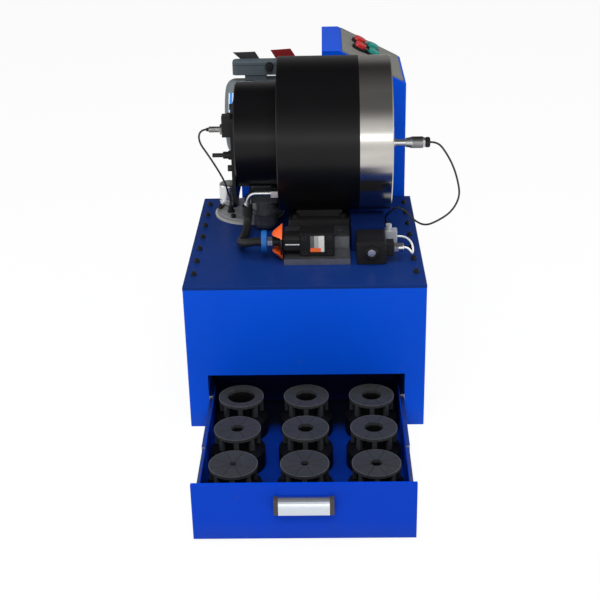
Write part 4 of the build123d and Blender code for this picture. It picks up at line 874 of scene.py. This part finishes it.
# Blank blue and white rating sticker round the fan cowl's side.
# Printed vinyl in plain bands, curved to the cowl.
sticker_vinyl = Finish("cowl_sticker", Coat_Weight=0.4, Coat_Roughness=0.15)
where = sticker_vinyl.axes(sticker_vinyl.place())
fleck = sticker_vinyl.noise(sticker_vinyl.place(), 300.0, 4.0)
band_starts = -0.1935
band_ends = -0.1865
band = ((where[0] > band_starts) * (where[0] < band_ends)).clamped()
sticker_vinyl.set(Base_Color=sticker_vinyl.mix(band, (0.70, 0.74, 0.80), (0.03, 0.22, 0.62)))
sticker_vinyl.set(Roughness=0.28 + 0.2 * fleck)
motor_axis = (0.374, 0.550)
sticker_columns = (-0.1960, -0.1900, -0.1810)
sticker_faces = (0.09915, 0.0995)
sticker_from = 16
sticker_sweep = 37
sticker_steps = 14
mesh = bmesh.new()
strips = []
for step in range(sticker_steps + 1):
    angle = math.radians(sticker_from + sticker_sweep * step / sticker_steps)
    strip = []
    for reach in sticker_faces:
        spot = (motor_axis[0] - reach * math.cos(angle), motor_axis[1] + reach * math.sin(angle))
        strip.append([mesh.verts.new((along, *spot)) for along in sticker_columns])
    strips.append(strip)
for near, far in zip(strips, strips[1:]):
    for here, there in zip(near, far):
        for step in (0, 1):
            mesh.faces.new((here[step], here[step + 1], there[step + 1], there[step]))
    for step in (0, 2):
        mesh.faces.new((near[0][step], near[1][step], far[1][step], far[0][step]))
for strip in (strips[0], strips[-1]):
    for step in (0, 1):
        mesh.faces.new((strip[0][step], strip[0][step + 1], strip[1][step + 1], strip[1][step]))
sticker = piece_from("cowl_sticker", mesh, sticker_vinyl)
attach(sticker, "root")

# Two plastic tabs standing tilted behind the terminal box, one black and one red.
# Thin moulded flags that spread slightly at the top.
tab_black = Finish("tab_black", Specular_IOR_Level=0.3)
flow = tab_black.noise(tab_black.place(), 200.0, 3.0)
tab_black.set(Base_Color=tab_black.mix(flow, (0.012, 0.012, 0.014), (0.03, 0.03, 0.034)))
tab_black.set(Roughness=0.4 + 0.2 * flow)
tab_back = 0.3945
tab_thick = 0.0022
tab_bow = 0.001
corners = (
    (-0.1640, tab_back, 0.6940),
    (-0.1160, tab_back, 0.6940),
    (-0.1300, tab_back, 0.7165),
    (-0.1880, tab_back, 0.7155),
)
tab = thin_plate("terminal_tab_black", corners, tab_thick, tab_black, tab_bow)
tab_red = Finish("tab_red", Specular_IOR_Level=0.3)
flow = tab_red.noise(tab_red.place(), 200.0, 3.0)
tab_red.set(Base_Color=tab_red.mix(flow, (0.19, 0.008, 0.010), (0.12, 0.006, 0.008)))
tab_red.set(Roughness=0.38 + 0.2 * flow)
corners = (
    (-0.0740, tab_back, 0.6940),
    (-0.0200, tab_back, 0.6940),
    (-0.0380, tab_back, 0.7230),
    (-0.0900, tab_back, 0.7200),
)
tab = thin_plate("terminal_tab_red", corners, tab_thick, tab_red, tab_bow)
